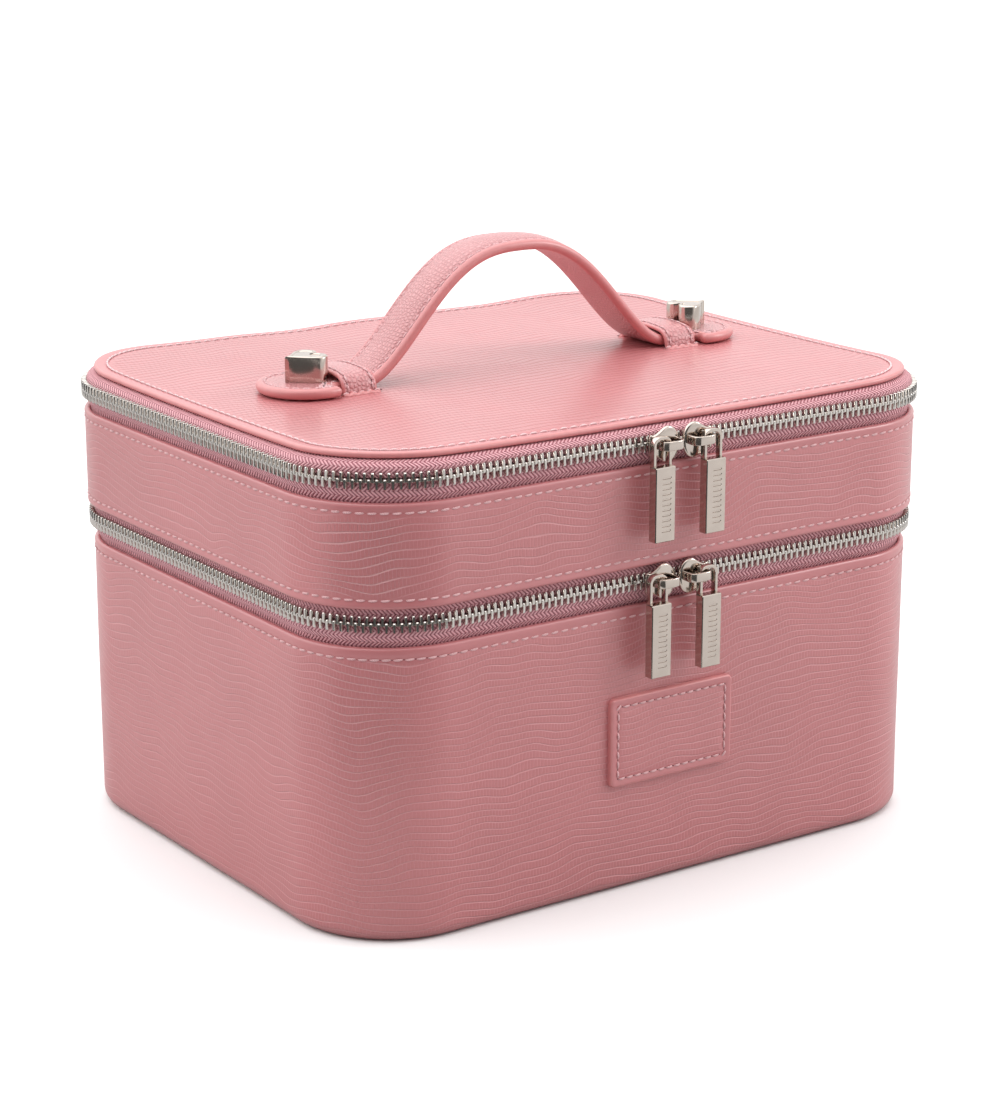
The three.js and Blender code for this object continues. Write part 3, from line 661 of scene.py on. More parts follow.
def woven_lining(name, colour, shade):
    """Soft brushed lining with a fine plain weave under it."""
    material, tree, shader, grain = surface(
        name, **{"Specular IOR Level": 0.2, "Sheen Weight": 0.6, "Sheen Roughness": 0.5})
    parts = node(tree, "SeparateXYZ", {0: grain})
    warp = calc(tree, "SINE", calc(tree, "MULTIPLY", parts.outputs["X"], TAU / 0.8))
    weft = calc(tree, "SINE", calc(tree, "MULTIPLY", parts.outputs["Y"], TAU / 0.8))
    nap = speckle(tree, grain, 1.6, 4.0, 0.7).outputs["Fac"]
    height = calc(tree, "ADD", calc(tree, "MULTIPLY", warp, weft), calc(tree, "MULTIPLY", nap, 2.0))
    bump(tree, shader, height, 0.05)
    patches = speckle(tree, grain, 1 / 30.0, 3.0).outputs["Fac"]
    mix = calc(tree, "ADD", fade(tree, patches, 0.3, 0.7, 0.2, 0.6), calc(tree, "MULTIPLY", nap, 0.4))
    tree.links.new(blend_colour(tree, mix, shade, colour), shader.inputs["Base Color"])
    tree.links.new(calc(tree, "ADD", calc(tree, "MULTIPLY", nap, 0.15), 0.72), shader.inputs["Roughness"])
    return material


wall_leather = lizard_leather(
    "embossed_leather", 1.3, 2.4, line=0.30, depth=0.13, drift=(2.0, 7.0), drift_size=34.0,
    cell_weight=0.62, contrast=0.45, line_colour=PINK_LINE)
lid_leather = lizard_leather(
    "fine_embossed_leather", 1.8, 3.3, line=0.75, depth=0.24, drift=(3.0, 6.5), drift_size=34.0,
    cell_weight=0.9, contrast=0.42, line_colour=(0.36, 0.075, 0.08))
strap_leather = pebble_leather("strap_leather", 1.5, 1.05, 0.25, (0.68, 0.275, 0.285), (0.50, 0.155, 0.165))
edge_leather = smooth_leather("edge_leather", SALMON)
tape_cloth = zip_tape("zip_tape", (0.93, 0.50, 0.54), (0.36, 0.10, 0.13))
stitch_thread = thread("stitch_thread", (0.88, 0.54, 0.55), (0.70, 0.38, 0.40))
# The lid's thread is stitch_thread painted lighter: painted light, so that the lid's stitches stay light
# beside the lid's bright grazing reflection.
lid_thread_painted_lighter = thread("lid_thread_painted_lighter", (0.94, 0.70, 0.71), (0.84, 0.55, 0.57))
# Needle holes are coloured nearly black: painted shade standing in for the dark inside of each hole.
needle_hole_painted_shade = smooth_leather("needle_hole_painted_shade", (0.10, 0.02, 0.025), roughness=0.8)
nickel = polished_metal("polished_nickel", (0.63, 0.55, 0.49), 0.09)
tooth_metal = polished_metal("zip_tooth_metal", (0.68, 0.64, 0.60), 0.14)
mirror_glass = polished_metal("mirror_glass", (0.92, 0.94, 0.95), 0.015, marks=0.02)
lining_cloth = woven_lining("lining_cloth", (0.72, 0.37, 0.40), (0.52, 0.22, 0.26))
board_skin = smooth_leather("board_skin", (0.42, 0.16, 0.18), roughness=0.55)
STITCHING = [stitch_thread, needle_hole_painted_shade]
STRAP_SKINS = [strap_leather, edge_leather]


# ------------------------------------------------------------------------------ stitches
def add_stitch(shape, middle, along, up, length):
    """One stitch lying on the surface with its ends dipping in."""
    side = np.cross(up, along)
    along = along + STITCH_LEAN * side
    points, grain = [], []
    for share, size, lift in STITCH_RINGS:
        centre = middle + along * share * length / 2 + up * lift
        for k in range(STITCH_SIDES):
            turn = TAU * k / STITCH_SIDES
            offset = side * math.cos(turn) * 1.15 + up * math.sin(turn) * 0.85
            points.append(centre + offset * THREAD_RADIUS * size)
            grain.append((share * length / 2, THREAD_RADIUS * turn))
    faces = []
    for ring_index in range(len(STITCH_RINGS) - 1):
        for k in range(STITCH_SIDES):
            a, b = ring_index * STITCH_SIDES + k, ring_index * STITCH_SIDES + (k + 1) % STITCH_SIDES
            faces.append((a, b, b + STITCH_SIDES, a + STITCH_SIDES))
    faces.append(tuple(range(STITCH_SIDES)))
    faces.append(tuple(range(len(points) - STITCH_SIDES, len(points))))
    shape.solid(points, faces, 0, grain)


def add_hole(shape, middle, along, up, radius):
    """A needle hole: a small lens sunk into the leather, coloured dark as painted shade for the inside of the
    hole.
    """
    side = np.cross(up, along)
    turns = [TAU * k / 6 for k in range(6)]
    rim = [middle + radius * (1.15 * along * math.cos(a) + side * math.sin(a)) - up * 0.12 for a in turns]
    points = [*rim, middle + up * 0.03, middle - up * 0.3]
    faces = [(k, (k + 1) % 6, 6) for k in range(6)] + [((k + 1) % 6, k, 7) for k in range(6)]
    shape.solid(points, faces, 1)


def stitch_line(shape, at, length, loop=False, pitch=STITCH_PITCH, hole=HOLE_RADIUS):
    """Stitches along a line. at(distance) gives a point, its direction and the surface normal."""
    count = max(1, round(length / pitch))
    step = length / count
    for k in range(count):
        add_stitch(shape, *at((k + 0.5) * step), STITCH_SHARE * step)
    for k in range(count if loop else count + 1):
        add_hole(shape, *at(k * step), hole)


def ring_stitches(shape, inset, height, outward=True, hole=HOLE_RADIUS):
    """A stitch line all round the case. height is a number, or the lid's surface."""
    reach = CORNER_RADIUS - inset

    def at(distance):
        core, normal = plan.at(distance)
        x, y = core + reach * normal
        z = height if not callable(height) else float(height(x, y))
        along = np.array([-normal[1], normal[0], 0.0])
        up = np.array([*normal, 0.0]) if outward else np.array([0.0, 0.0, 1.0])
        return np.array([x, y, z]), along, up

    stitch_line(shape, at, plan.length, loop=True, hole=hole)


def stitch_along(shape, points, up, loop=False, pitch=STITCH_PITCH):
    """Stitches along a line of points. up is the surface normal, for all or for each point."""
    points = np.asarray(points, float)
    if loop:
        points = closed(points)
    ups = np.broadcast_to(up, points.shape)
    run = travelled(points)

    def sample(values, distance):
        return np.array([np.interp(distance, run, values[:, k]) for k in range(3)])

    def at(distance):
        along = sample(points, distance + 0.4) - sample(points, distance - 0.4)
        return sample(points, distance), along / np.linalg.norm(along), sample(ups, distance)

    stitch_line(shape, at, run[-1], loop, pitch)


# ---------------------------------------------------------------------------- shells and floors
def rolled_edge(inset, z, side, stitch_depth):
    """Outer half of a turned edge: from the plain wall, through the stitched dip, over the top.
    side is +1 for an edge that faces up and -1 for one that faces down."""
    line = [(0.0, 2.6), (0.02, 1.3), (0.5 * STITCH_DIP, 0.5), (STITCH_DIP, 0.0), (0.4 * STITCH_DIP, -0.7),
            (-0.05, -1.4)]
    wall_to_roll = [(inset + sink, z - side * (stitch_depth + below)) for sink, below in line]
    middle = (inset + SHELL_ROLL, z - side * (SHELL_ROLL + 0.05))
    roll = arc(0, 0, SHELL_ROLL + 0.12, 180, 0, 8) * (1, side) + middle
    return np.array([*wall_to_roll, *roll, (inset + WALL, z - side * (stitch_depth + 1.5))])


def edge_fade(profile, *edges):
    """Relief along a profile: none within the turned edges, full away from them."""
    away = np.min([np.abs(profile[:, 1] - z) for z in edges], axis=0)
    return smoothstep(away, STITCH_DEPTH + 0.2, STITCH_DEPTH + 3.0)


def make_base_shell():
    """The base wall with its rolled foot and its stitched top edge."""
    inset, foot = BASE_INSET, BASE_FOOT
    top = rolled_edge(inset, BASE_TOP, 1, BASE_STITCH_DEPTH)
    wall = [(inset, z) for z in np.linspace(foot + 1.5, top[0][1] - 3, 22)]
    corner = arc(inset + foot, foot, foot, 270, 180, 7)
    under = [(inset + 8.6, 1.5), (inset + 8.4, 0.35), (inset + 7.8, 0.0)]
    inner = [(inset + WALL, 4.0), (inset + WALL + 1.6, 1.9)]
    profile = np.array([*under, *corner, *wall, *top, *inner])
    looped = closed(profile)
    # More relief at the corners, fading towards the bottom: a deeper emboss, plus lighter lines painted in as
    # painted reflection.
    corner_relief_and_painted_reflection = 0.25 + 0.75 * smoothstep(looped[:, 1], 25, 85)
    shape = Shape()
    ring(shape, profile, relief=edge_fade(looped, BASE_TOP), corner_relief_and_painted_reflection=corner_relief_and_painted_reflection,
         lift=lambda points: swell(points, SHELL_SWELL, 52.0, 3.0))
    shape.build("base_shell", [wall_leather], "leather", "base_wall", "base_rim_binding", body="base")
    thread_shape = Shape()
    ring_stitches(thread_shape, inset + STITCH_DIP, BASE_TOP - BASE_STITCH_DEPTH)
    thread_shape.build("base_top_stitching", STITCHING, "edge_leather", body="base")


def make_tier_shell():
    """The tier wall between its two stitched edges."""
    bottom = rolled_edge(0.0, TIER_BOTTOM, -1, STITCH_DEPTH)[::-1]
    top = rolled_edge(0.0, TIER_TOP, 1, STITCH_DEPTH)
    wall = [(0.0, z) for z in np.linspace(bottom[-1][1] + 2.5, top[0][1] - 2.5, 9)]
    profile = np.concatenate([bottom, wall, top])
    relief = edge_fade(closed(profile), TIER_BOTTOM, TIER_TOP)
    shape = Shape()
    # corner_relief_and_painted_reflection raises the corners' emboss and paints their lighter lines stronger,
    # as painted reflection.
    ring(shape, profile, relief=relief, corner_relief_and_painted_reflection=1.2, grain_from=211.0)
    shape.build("tier_shell", [wall_leather], "leather", "tier_wall", "tier_bottom_binding",
                "tier_top_binding", body="tier")
    for edge, z in (("bottom", TIER_BOTTOM + STITCH_DEPTH), ("top", TIER_TOP - STITCH_DEPTH)):
        thread_shape = Shape()
        ring_stitches(thread_shape, STITCH_DIP, z)
        thread_shape.build(f"tier_{edge}_stitching", STITCHING, "edge_leather", body="tier")


def make_base_floor():
    """The board that closes the base from below."""
    shape = Shape()
    profile = [(6, 2.15), (0.3, 2.15), (0.0, 1.85), (0.0, 0.75), (0.35, 0.25), (1.0, 0.10), (3.0, 0.10)]
    pad(shape, plan.outline(BASE_INSET + 9.0), profile, level(0.0), relief=0.6, steps=4)
    shape.build("base_bottom_panel", [board_skin], "board", "base_floor", body="base")


def make_tray(body):
    """A fitted lining: a thin tray with a padded floor and a soft fillet round it."""
    low, high = cad(f"{body}_lining")
    inset, floor, top = HALF_X - high.x, low.z, high.z
    thick, fillet = 1.0, 6.0
    distances = plan.samples(0, plan.length, 4.0, 1.8)[:-1]
    outer = [(inset, floor + fillet)] + [(inset, z) for z in np.linspace(floor + fillet + 4, top - 1, 8)]
    rim = arc(inset + thick / 2, top - thick / 2, thick / 2, 180, 0, 4)
    inner_wall = [(inset + thick, z) for z in np.linspace(top - 2, floor + fillet + thick, 8)]
    turn = arc(inset + thick + fillet, floor + thick + fillet, fillet, 180, 270, 6)
    profile = np.array([*outer, *rim, *inner_wall, *turn])
    rows = plan.points(distances, profile)
    start = plan.points(distances, [(inset + 2.0, floor + 1.6), (inset + 0.6, floor + 3.0)])
    rows = np.concatenate([start, rows])

    def floor_height(x, y):
        away = np.minimum(HALF_X - np.abs(x), HALF_Y - np.abs(y)) - inset
        return floor + thick + 1.1 * smoothstep(away, fillet, 40)

    middle = centre_rows(rows[-1], floor_height, 12)
    under = centre_rows(rows[0], level(floor), 3)
    points = np.array([*under[::-1], *rows, *middle])
    run = travelled(points[:, 0])
    along = np.concatenate([distances, [plan.length]])
    grain = np.stack(np.broadcast_arrays(along[None, :], run[:, None]), -1).copy()
    flat_rows = np.zeros(len(points), bool)
    flat_rows[:len(under)] = True
    flat_rows[-len(middle) - 4:] = True
    looped = np.concatenate([points, points[:, :1]], 1)
    grain[flat_rows] = looped[flat_rows][..., :2]
    shape = Shape()
    shape.lattice(points, grain, wrap=True)
    shape.build(f"{body}_lining_tray", [lining_cloth], "lining", f"{body}_lining", body=body)


# -------------------------------------------------------------------------------------- the lid
def make_lid():
    """The lid's board, its rolled edge and the stitched dip inside it."""
    thick, steps = LID_THICKNESS, 16
    edge = arc(thick / 2, -thick / 2, thick / 2 + 0.05, 270, 90, 8)
    profile = [(6.0, -thick), (3.0, -thick), *edge, (2.2, -0.02), (3.3, -0.10), (4.1, -0.24), (4.6, -0.30),
               (5.1, -0.24), (6.0, -0.08), (8.0, 0.0), (11.0, 0.0), (15.0, 0.0), (20.0, 0.0)]
    depth = np.array([0.0] * UNDER_ROWS + [inset for inset, _ in profile] + [30.0] * steps)
    upper = np.arange(len(depth)) >= UNDER_ROWS + len(edge) + 3
    relief = (smoothstep(depth, 4.9, 7.5) * upper)[:, None]
    shape = Shape()
    pad(shape, plan.outline(LID_INSET, 3.0, 1.4), profile, lid_height, steps,
        slot=edge_slots(len(depth) - 1, 0, UNDER_ROWS + len(edge) + 1), relief=relief)
    shape.build("lid_top", [lid_leather, edge_leather], "leather", "lid_panel", "lid_rolled_edge", body="lid")
    thread_shape = Shape()
    ring_stitches(thread_shape, LID_STITCH_INSET, lambda x, y: lid_height(x, y) - LID_STITCH_SINK,
                  outward=False, hole=LID_HOLE_RADIUS)
    # The lid's stitches use the thread copy that is painted lighter, as painted light.
    thread_shape.build("lid_stitching", [lid_thread_painted_lighter, needle_hole_painted_shade], "edge_leather", body="lid")


def make_lid_inside():
    """The lid's lining and the stitched frame of its mirror."""
    low, high = cad("lid_lining")
    shape = Shape()
    profile = [(4, high.z), (0.4, high.z), (0.0, high.z - 0.4), (0.2, low.z + 0.2), (1.0, low.z), (5, low.z)]
    pad(shape, plan.outline(HALF_X - high.x, 5.0, 2.0), profile, level(0.0), steps=6)
    shape.build("lid_lining_panel", [lining_cloth], "lining", "lid_lining", body="lid")

    low, high = cad("mirror_frame")
    centre = np.array([(low.x + high.x) / 2, (low.y + high.y) / 2])
    rail = cad("lid_mirror")[0].x - low.x
    outer = box_outline(high.x - low.x, high.y - low.y, 15, 10, 3.0)(0) + centre
    face = low.z - 0.9
    profile = [(0.0, high.z), (0.0, low.z + 0.4), (0.5, face + 0.25), (1.5, face),
               (2.6, face + 0.28), (3.7, face), (rail - 1.3, face + 0.1),
               (rail - 0.2, low.z + 0.1), (rail - 0.15, high.z)]
    rows = []
    for inset, z in [*profile, profile[0]]:
        flat = inset_outline(outer, inset)
        rows.append(np.column_stack([flat, np.full(len(flat), z)]))
    points = np.array(rows)
    looped = np.concatenate([points, points[:, :1]], 1)
    shape = Shape()
    shape.lattice(points, looped[..., :2], wrap=True)
    shape.build("mirror_surround", [edge_leather], "leather", "mirror_frame", body="lid")
    thread_shape = Shape()
    seam = inset_outline(outer, 2.6)
    stitch_along(thread_shape, np.column_stack([seam, np.full(len(seam), face + 0.28)]), (0, 0, -1), loop=True)
    thread_shape.build("mirror_surround_stitching", STITCHING, "edge_leather", body="lid")


# -------------------------------------------------------------------------------------- the zips
def tape_loop(line):
    """A closed band of tape thickness behind a smoothed (inset, z, follow) line."""
    line = rounded(line, 2)
    flat = line[:, :2]
    along = directions(flat)
    inward = np.stack([np.abs(along[:, 1]), -np.sign(along[:, 1] + 1e-9) * along[:, 0]], -1)
    back = flat + inward * TAPE
    return np.concatenate([np.column_stack([flat, line[:, 2]]), np.column_stack([back, line[:, 2]])[::-1]])


def make_tape(name, node_name, body, line, wave_seed):
    """One half of a zip's tape. follow says how far a point goes with the lid's drooping edge."""
    loop = tape_loop(line)
    follow = closed(loop)[:, 2:]

    def lift(points):
        droop = lid_height(points[..., 0], points[..., 1]) - PANEL_TOP - LID_CORNER_RISE
        points[..., 2] += follow * droop
        return swell(points, TAPE_SWELL, 17.0, wave_seed)

    shape = Shape()
    ring(shape, loop[:, :2], plan.zip_start - TAPE_END, plan.zip_end + TAPE_END, lift=lift)
    shape.build(name, [tape_cloth], "tape", node_name, body=body)


def tooth_outline():
    """A tooth seen from the front: a straight leg and a hooked head that meets the other row."""
    return np.array([
        (-TOOTH_LEG, TOOTH_TOP - 0.25), (-TOOTH_LEG, 0.55), (-0.60, 0.25), (-0.58, -0.30), (-0.30, -0.62),
        (0.30, -0.62), (0.58, -0.36), (0.60, 0.20), (TOOTH_LEG, 0.75), (TOOTH_LEG, TOOTH_TOP - 0.25),
        (0.3, TOOTH_TOP), (-0.3, TOOTH_TOP)])


def make_teeth(name, node_name, body, chain_inset, zip_z, side, shift):
    """One row of zip teeth. side is +1 for the row above the zip's line and -1 for the one below."""
    outline = tooth_outline()
    middle = np.array([0.0, (TOOTH_TOP - 0.6) / 2])
    layers = ((0.0, 1.0), (0.25 * CHAIN_DEPTH, 1.0), (CHAIN_DEPTH - 0.32, 1.0), (CHAIN_DEPTH, 0.66))
    points = []
    for depth, size in layers:
        flat = middle + (outline - middle) * np.array([size, 0.5 + 0.5 * size])
        points += [(a, depth, c) for a, c in flat]
    points = np.array(points)
    n = len(outline)
    faces = [(i * n + k, i * n + (k + 1) % n, (i + 1) * n + (k + 1) % n, (i + 1) * n + k)
             for i in range(len(layers) - 1) for k in range(n)]
    faces += [tuple(range(n)), tuple(range(3 * n, 4 * n))]
    count = int((plan.zip_end - plan.zip_start) / TOOTH_PITCH)
    distances = plan.zip_start + (np.arange(count) + 0.25 + shift) * TOOTH_PITCH
    shape = Shape()
    back = CORNER_RADIUS - chain_inset - CHAIN_DEPTH
    for distance in distances[distances < plan.zip_end - 1]:
        core, normal = plan.at(distance)
        along = np.array([-normal[1], normal[0]])
        flat = core + along * points[:, :1] * side + normal * (back + points[:, 1:2])
        shape.solid(np.column_stack([flat, zip_z + side * points[:, 2]]), faces, 0, points[:, (0, 2)])
    shape.build(name, [tooth_metal], "nickel", node_name, body=body, sharp=35)


def make_zips():
    """Tapes and teeth of both zips."""
    chain_back = LOWER_CHAIN_INSET + CHAIN_DEPTH + GAP
    low_line = [(BASE_TUCK, BASE_TOP - 6, 0), (BASE_TUCK, BASE_TOP + 0.2, 0),
                (chain_back + 0.5, BASE_TOP + 2.4, 0), (chain_back, BASE_TOP + 3.6, 0),
                (chain_back, LOWER_ZIP - TAPE_STOP, 0)]
    make_tape("lower_tape_base", "lower_zip_tape_base", "base", low_line, 1.0)
    tuck = TIER_TUCK
    high_line = [(tuck, TIER_BOTTOM + 6, 0), (tuck, TIER_BOTTOM - 0.2, 0), (chain_back, TIER_BOTTOM - 2.0, 0),
                 (chain_back, LOWER_ZIP + TAPE_STOP, 0)]
    make_tape("lower_tape_tier", "lower_zip_tape_tier", "tier", high_line, 5.0)
    chain_back = UPPER_CHAIN_INSET + CHAIN_DEPTH + GAP
    low_line = [(tuck, TIER_TOP - 6, 0), (tuck, TIER_TOP + 0.2, 0), (chain_back + 0.3, TIER_TOP + 2.2, 0),
                (chain_back, TIER_TOP + 3.6, 0), (chain_back, UPPER_ZIP - TAPE_STOP, 0)]
    make_tape("upper_tape_tier", "upper_zip_tape_tier", "tier", low_line, 9.0)
    under_edge = PANEL_TOP + LID_CORNER_RISE - LID_THICKNESS - 0.25
    lid_line = [(LID_INSET + 4.5, under_edge, 1), (LID_INSET + 0.2, under_edge, 1),
                (chain_back + 0.7, under_edge - 1.3, 0.9), (chain_back - 0.15, under_edge - 3.0, 0.6),
                (chain_back, UPPER_ZIP + 1.8, 0.1),
                (chain_back, UPPER_ZIP + TAPE_STOP, 0)]
    make_tape("upper_tape_lid", "upper_zip_tape_lid", "lid", lid_line, 13.0)
    for zip_name, low_body, high_body, inset, z in (("lower", "base", "tier", LOWER_CHAIN_INSET, LOWER_ZIP),
                                                    ("upper", "tier", "lid", UPPER_CHAIN_INSET, UPPER_ZIP)):
        for body, side, shift in ((low_body, -1, 0.0), (high_body, 1, 0.5)):
            nodes = f"{zip_name}_teeth_{body}", f"{zip_name}_zip_teeth_{body}"
            make_teeth(*nodes, body, inset, z, side, shift)


# -------------------------------------------------------------------------------- hinge strips
def make_hinge_strip(name, bodies, line):
    """One leather strip across the back, between the two bodies that it joins."""
    nodes = [f"{name}_{body}" for body in bodies]
    loop = tape_loop([(inset, z, 0) for inset, z in line])[:, :2]
    half = cad(nodes[0])[1].x
    across = np.linspace(-half, half, 56)
    profile = closed(loop)
    points = np.array([[(x, HALF_Y - inset + 0.10 * ripple(x, inset, z, 14.0, 21.0), z) for x in across]
                       for inset, z in profile])
    run = travelled(profile)
    grain = np.stack(np.broadcast_arrays(across[None, :], run[:, None]), -1)
    shape = Shape()
    first = shape.lattice(points, grain, relief=0.8)
    for column in (0, len(across) - 1):
        shape.cap(first + column, len(across), loop)
    piece = shape.build(name, [strap_leather], "leather", *nodes)
    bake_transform(piece)


def make_hinges():
    """The strips behind the lower and the upper zip."""
    line = [(BASE_TUCK, BASE_TOP - 6), (BASE_TUCK, BASE_TOP), (2.3, BASE_TOP + 2.4), (1.9, LOWER_ZIP),
            (2.3, TIER_BOTTOM - 2), (TIER_TUCK, TIER_BOTTOM), (TIER_TUCK, TIER_BOTTOM + 6)]
    make_hinge_strip("lower_hinge_strip", ("base", "tier"), line)
    tuck = TIER_TUCK
    edge = PANEL_TOP - LID_THICKNESS
    line = [(tuck, TIER_TOP - 6), (tuck, TIER_TOP), (1.4, TIER_TOP + 2.4), (1.0, UPPER_ZIP), (1.6, edge - 2.2),
            (LID_INSET + 1.0, edge - 0.4), (LID_INSET + 4, edge - 0.4)]
    make_hinge_strip("upper_hinge_strip", ("tier", "lid"), line)


# ----------------------------------------------------------------------------------- the patch
def make_patch():
    """The stitched front patch, left plain inside its seam."""
    low, high = cad("front_patch")
    wall_y = high.y
    centre = np.array([(low.x + high.x) / 2, (low.z + high.z) / 2])
    outline = box_outline(high.x - low.x, high.z - low.z, 2.0, 6, 1.6)
    thick = high.y - low.y + 0.2
    edge = arc(0.8, thick - 0.8, 0.8, 180, 90, 5)
    profile = [(3.0, 0.0), (0.0, 0.0), (0.0, thick - 0.9), *edge, (1.6, thick), (2.3, thick - 0.14),
               (2.9, thick - 0.3), (3.5, thick - 0.14), (4.4, thick + 0.02), (6.0, thick + 0.12),
               (9.0, thick + 0.2)]
    shape = Shape()
    depth = np.array([0.0] * UNDER_ROWS + [inset for inset, _ in profile] + [20.0] * 8)
    relief = smoothstep(depth, 3.2, 5.0)[:, None]
    slots = edge_slots(len(depth) - 1, UNDER_ROWS + 1, len(edge))
    pad(shape, outline, profile, level(0.0), 8, slot=slots, relief=relief)
    shape.place(lambda a, b, h: (centre[0] + a, wall_y + 0.25 - h, centre[1] + b))
    shape.shift_grain(430.0, 40.0)
    shape.build("front_label_patch", [wall_leather, edge_leather], "leather", "front_patch", body="base")

    seam = outline(2.9) + centre
    depth = np.full(len(seam), wall_y + 0.25 - thick + 0.2)
    thread_shape = Shape()
    seam = np.column_stack([seam[:, 0], depth, seam[:, 1]])
    stitch_along(thread_shape, seam, (0, -1, 0), loop=True, pitch=3.3)
    thread_shape.build("patch_stitching", STITCHING, "edge_leather", body="base")


# ---------------------------------------------------------------------------------- the handle
def handle_height(x):
    """Height of the strap's underside at a distance from the middle of the handle."""
    share = np.clip(np.abs(x) / STRAP_REACH, 0, 1) ** STRAP_SHAPE
    return STRAP_BOTTOM + STRAP_RISE * (1 + np.cos(math.pi * share)) / 2


def strap_top(from_edge, half):
    """Thickness of the strap: a stitched dip near each edge and a padded middle."""
    inside = from_edge - STRAP_STITCH_INSET
    dip = 0.42 * np.exp(-(inside / 0.65) ** 2)
    share = np.clip(inside / (half - STRAP_STITCH_INSET), 0, 1)
    return STRAP_EDGE - dip + STRAP_CROWN * (1 - (1 - share) ** 2)


def strap_section():
    """The strap's section and the material slot of each of its sides."""
    half, radius = STRAP_HALF, STRAP_EDGE / 2
    under = [(a, 0.0) for a in np.linspace(-half + radius, half - radius, 7)]
    right = arc(half - radius, radius, radius, -90, 90, 8)[1:]
    across = half - radius - np.array([0.5, 0.9, 1.2, 1.5, 1.9, 2.5, 3.5, 5.0, 7.0, half - radius])
    top_half = [(a, strap_top(half - a, half)) for a in across]
    top = [*top_half, *[(-a, h) for a, h in top_half[-2::-1]]]
    left = arc(-half + radius, radius, radius, 90, 270, 8)[:-1]
    section = np.array([*under, *right, *top, *left])
    slots = np.array([0] * (len(under) - 1) + [1] * len(right) + [0] * (len(top) + 1) + [1] * len(left))
    return section, slots


def strap_path():
    """Even points along the strap between the keepers, as (x, z) about the handle's middle."""
    x = np.linspace(-STRAP_SPLIT, STRAP_SPLIT, 1201)
    run = travelled(np.column_stack([x, handle_height(x)]))
    even = np.interp(np.linspace(0, run[-1], 121), run, x)
    return np.column_stack([even, handle_height(even)])


def make_strap_piece(name, nodes, start, end):
    """A stretch of strap from start to end, with its stitches."""
    path = strap_path()
    first, last = (int(np.argmin(np.abs(path[:, 0] - x))) for x in (start, end))
    path = path[first:last + 1] + (HANDLE_X, 0)
    section, slots = strap_section()
    shape = Shape()
    ribbon(shape, path, section, 0, HANDLE_Y, slot=slots[None, :], grain_from=first * 1.5)
    piece = shape.build(name, STRAP_SKINS, "leather", *nodes)
    along = directions(path)
    up = np.column_stack([-along[:, 1], np.zeros(len(path)), along[:, 0]])
    height = float(strap_top(STRAP_STITCH_INSET, STRAP_HALF)) + 0.02
    thread_shape = Shape()
    for across in (STRAP_STITCH_INSET - STRAP_HALF, STRAP_HALF - STRAP_STITCH_INSET):
        middle = np.column_stack([path[:, 0], np.full(len(path), HANDLE_Y + across), path[:, 1]])
        stitch_along(thread_shape, middle + up * height, up, pitch=STRAP_STITCH_PITCH)
    threads = thread_shape.build(name + "_stitching", STITCHING, "edge_leather")
    for made in (piece, threads):
        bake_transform(made)


def make_strap():
    """The strap in four stretches, from the left keeper to the right one."""
    make_strap_piece("strap_end_left", ("handle_arm_left",),
                     -STRAP_SPLIT, -ARM_MIDDLE)
    make_strap_piece("strap_shoulder_left", ("handle_crown",),
                     -ARM_MIDDLE, 0)
    make_strap_piece("strap_shoulder_right", (), 0, ARM_MIDDLE)
    make_strap_piece("strap_end_right", ("handle_arm_right",),
                     ARM_MIDDLE, STRAP_SPLIT)


def tab_rim(inset):
    """Outline of the strap's wide right end at an inset, about the handle's middle."""
    half, radius = STRAP_HALF - inset, TAB_RADIUS - inset
    middle = TAB_TIP - TAB_RADIUS
    shoulder = KEEPER_MIDDLE + TAB_NECK + inset
    start = math.degrees(math.acos((shoulder - middle) / radius))
    end = [(STRAP_SPLIT + 0.2, y) for y in np.linspace(half, -half, 9)]
    side = [(x, -half) for x in np.linspace(STRAP_SPLIT + 2.5, shoulder - 1.2, 6)]
    turn = arc(middle, 0, radius, -start, 15 - start, 2)
    flare = rounded([side[-1], (shoulder + 1.5 - 0.25 * inset, -half - 0.1), *turn], 3)
    cap = arc(middle, 0, radius, 17 - start, start - 17, 44)
    lower = np.array([*side, *flare[1:]])
    return np.array([*end, *lower, *cap, *(lower[::-1] * (1, -1))])


def make_tab(side):
    """A wide rounded end of the strap, flat on the lid outside its keeper."""
    sign = SIGN[side]
    radius = STRAP_EDGE / 2
    edge = arc(radius, radius, radius, 270, 90, 9)
    profile = [(5.0, 0.0), (3.5, 0.0), *edge, (2.4, STRAP_EDGE - 0.10), (3.0, STRAP_EDGE - 0.38),
               (3.6, STRAP_EDGE - 0.12)]
    shape = Shape()
    steps = 10
    slots = edge_slots(UNDER_ROWS + len(profile) + steps - 1, UNDER_ROWS + 1, len(edge))
    pad(shape, tab_rim, profile, level(STRAP_BOTTOM), steps, slot=slots)
    shape.place(lambda a, b, h: (HANDLE_X + sign * a, HANDLE_Y + b, h))
    shape.shift_grain(90.0, 15.0)
    body = f"handle_end_{side}"
    shape.build(f"handle_tab_{side}", STRAP_SKINS, "leather", body, body=body)
    line = tab_rim(STRAP_STITCH_INSET)
    line = line[line[:, 0] > STRAP_SPLIT + 3.3]
    inside = 72.0
    line = line[np.argsort(np.arctan2(line[:, 1], line[:, 0] - inside))]
    height = np.full(len(line), STRAP_BOTTOM + STRAP_EDGE - 0.30)
    seam = np.column_stack([HANDLE_X + sign * line[:, 0], HANDLE_Y + line[:, 1], height])
    thread_shape = Shape()
    stitch_along(thread_shape, seam, (0, 0, 1), pitch=STRAP_STITCH_PITCH)
    thread_shape.build(f"handle_tab_stitching_{side}", STITCHING, "edge_leather", body=body)


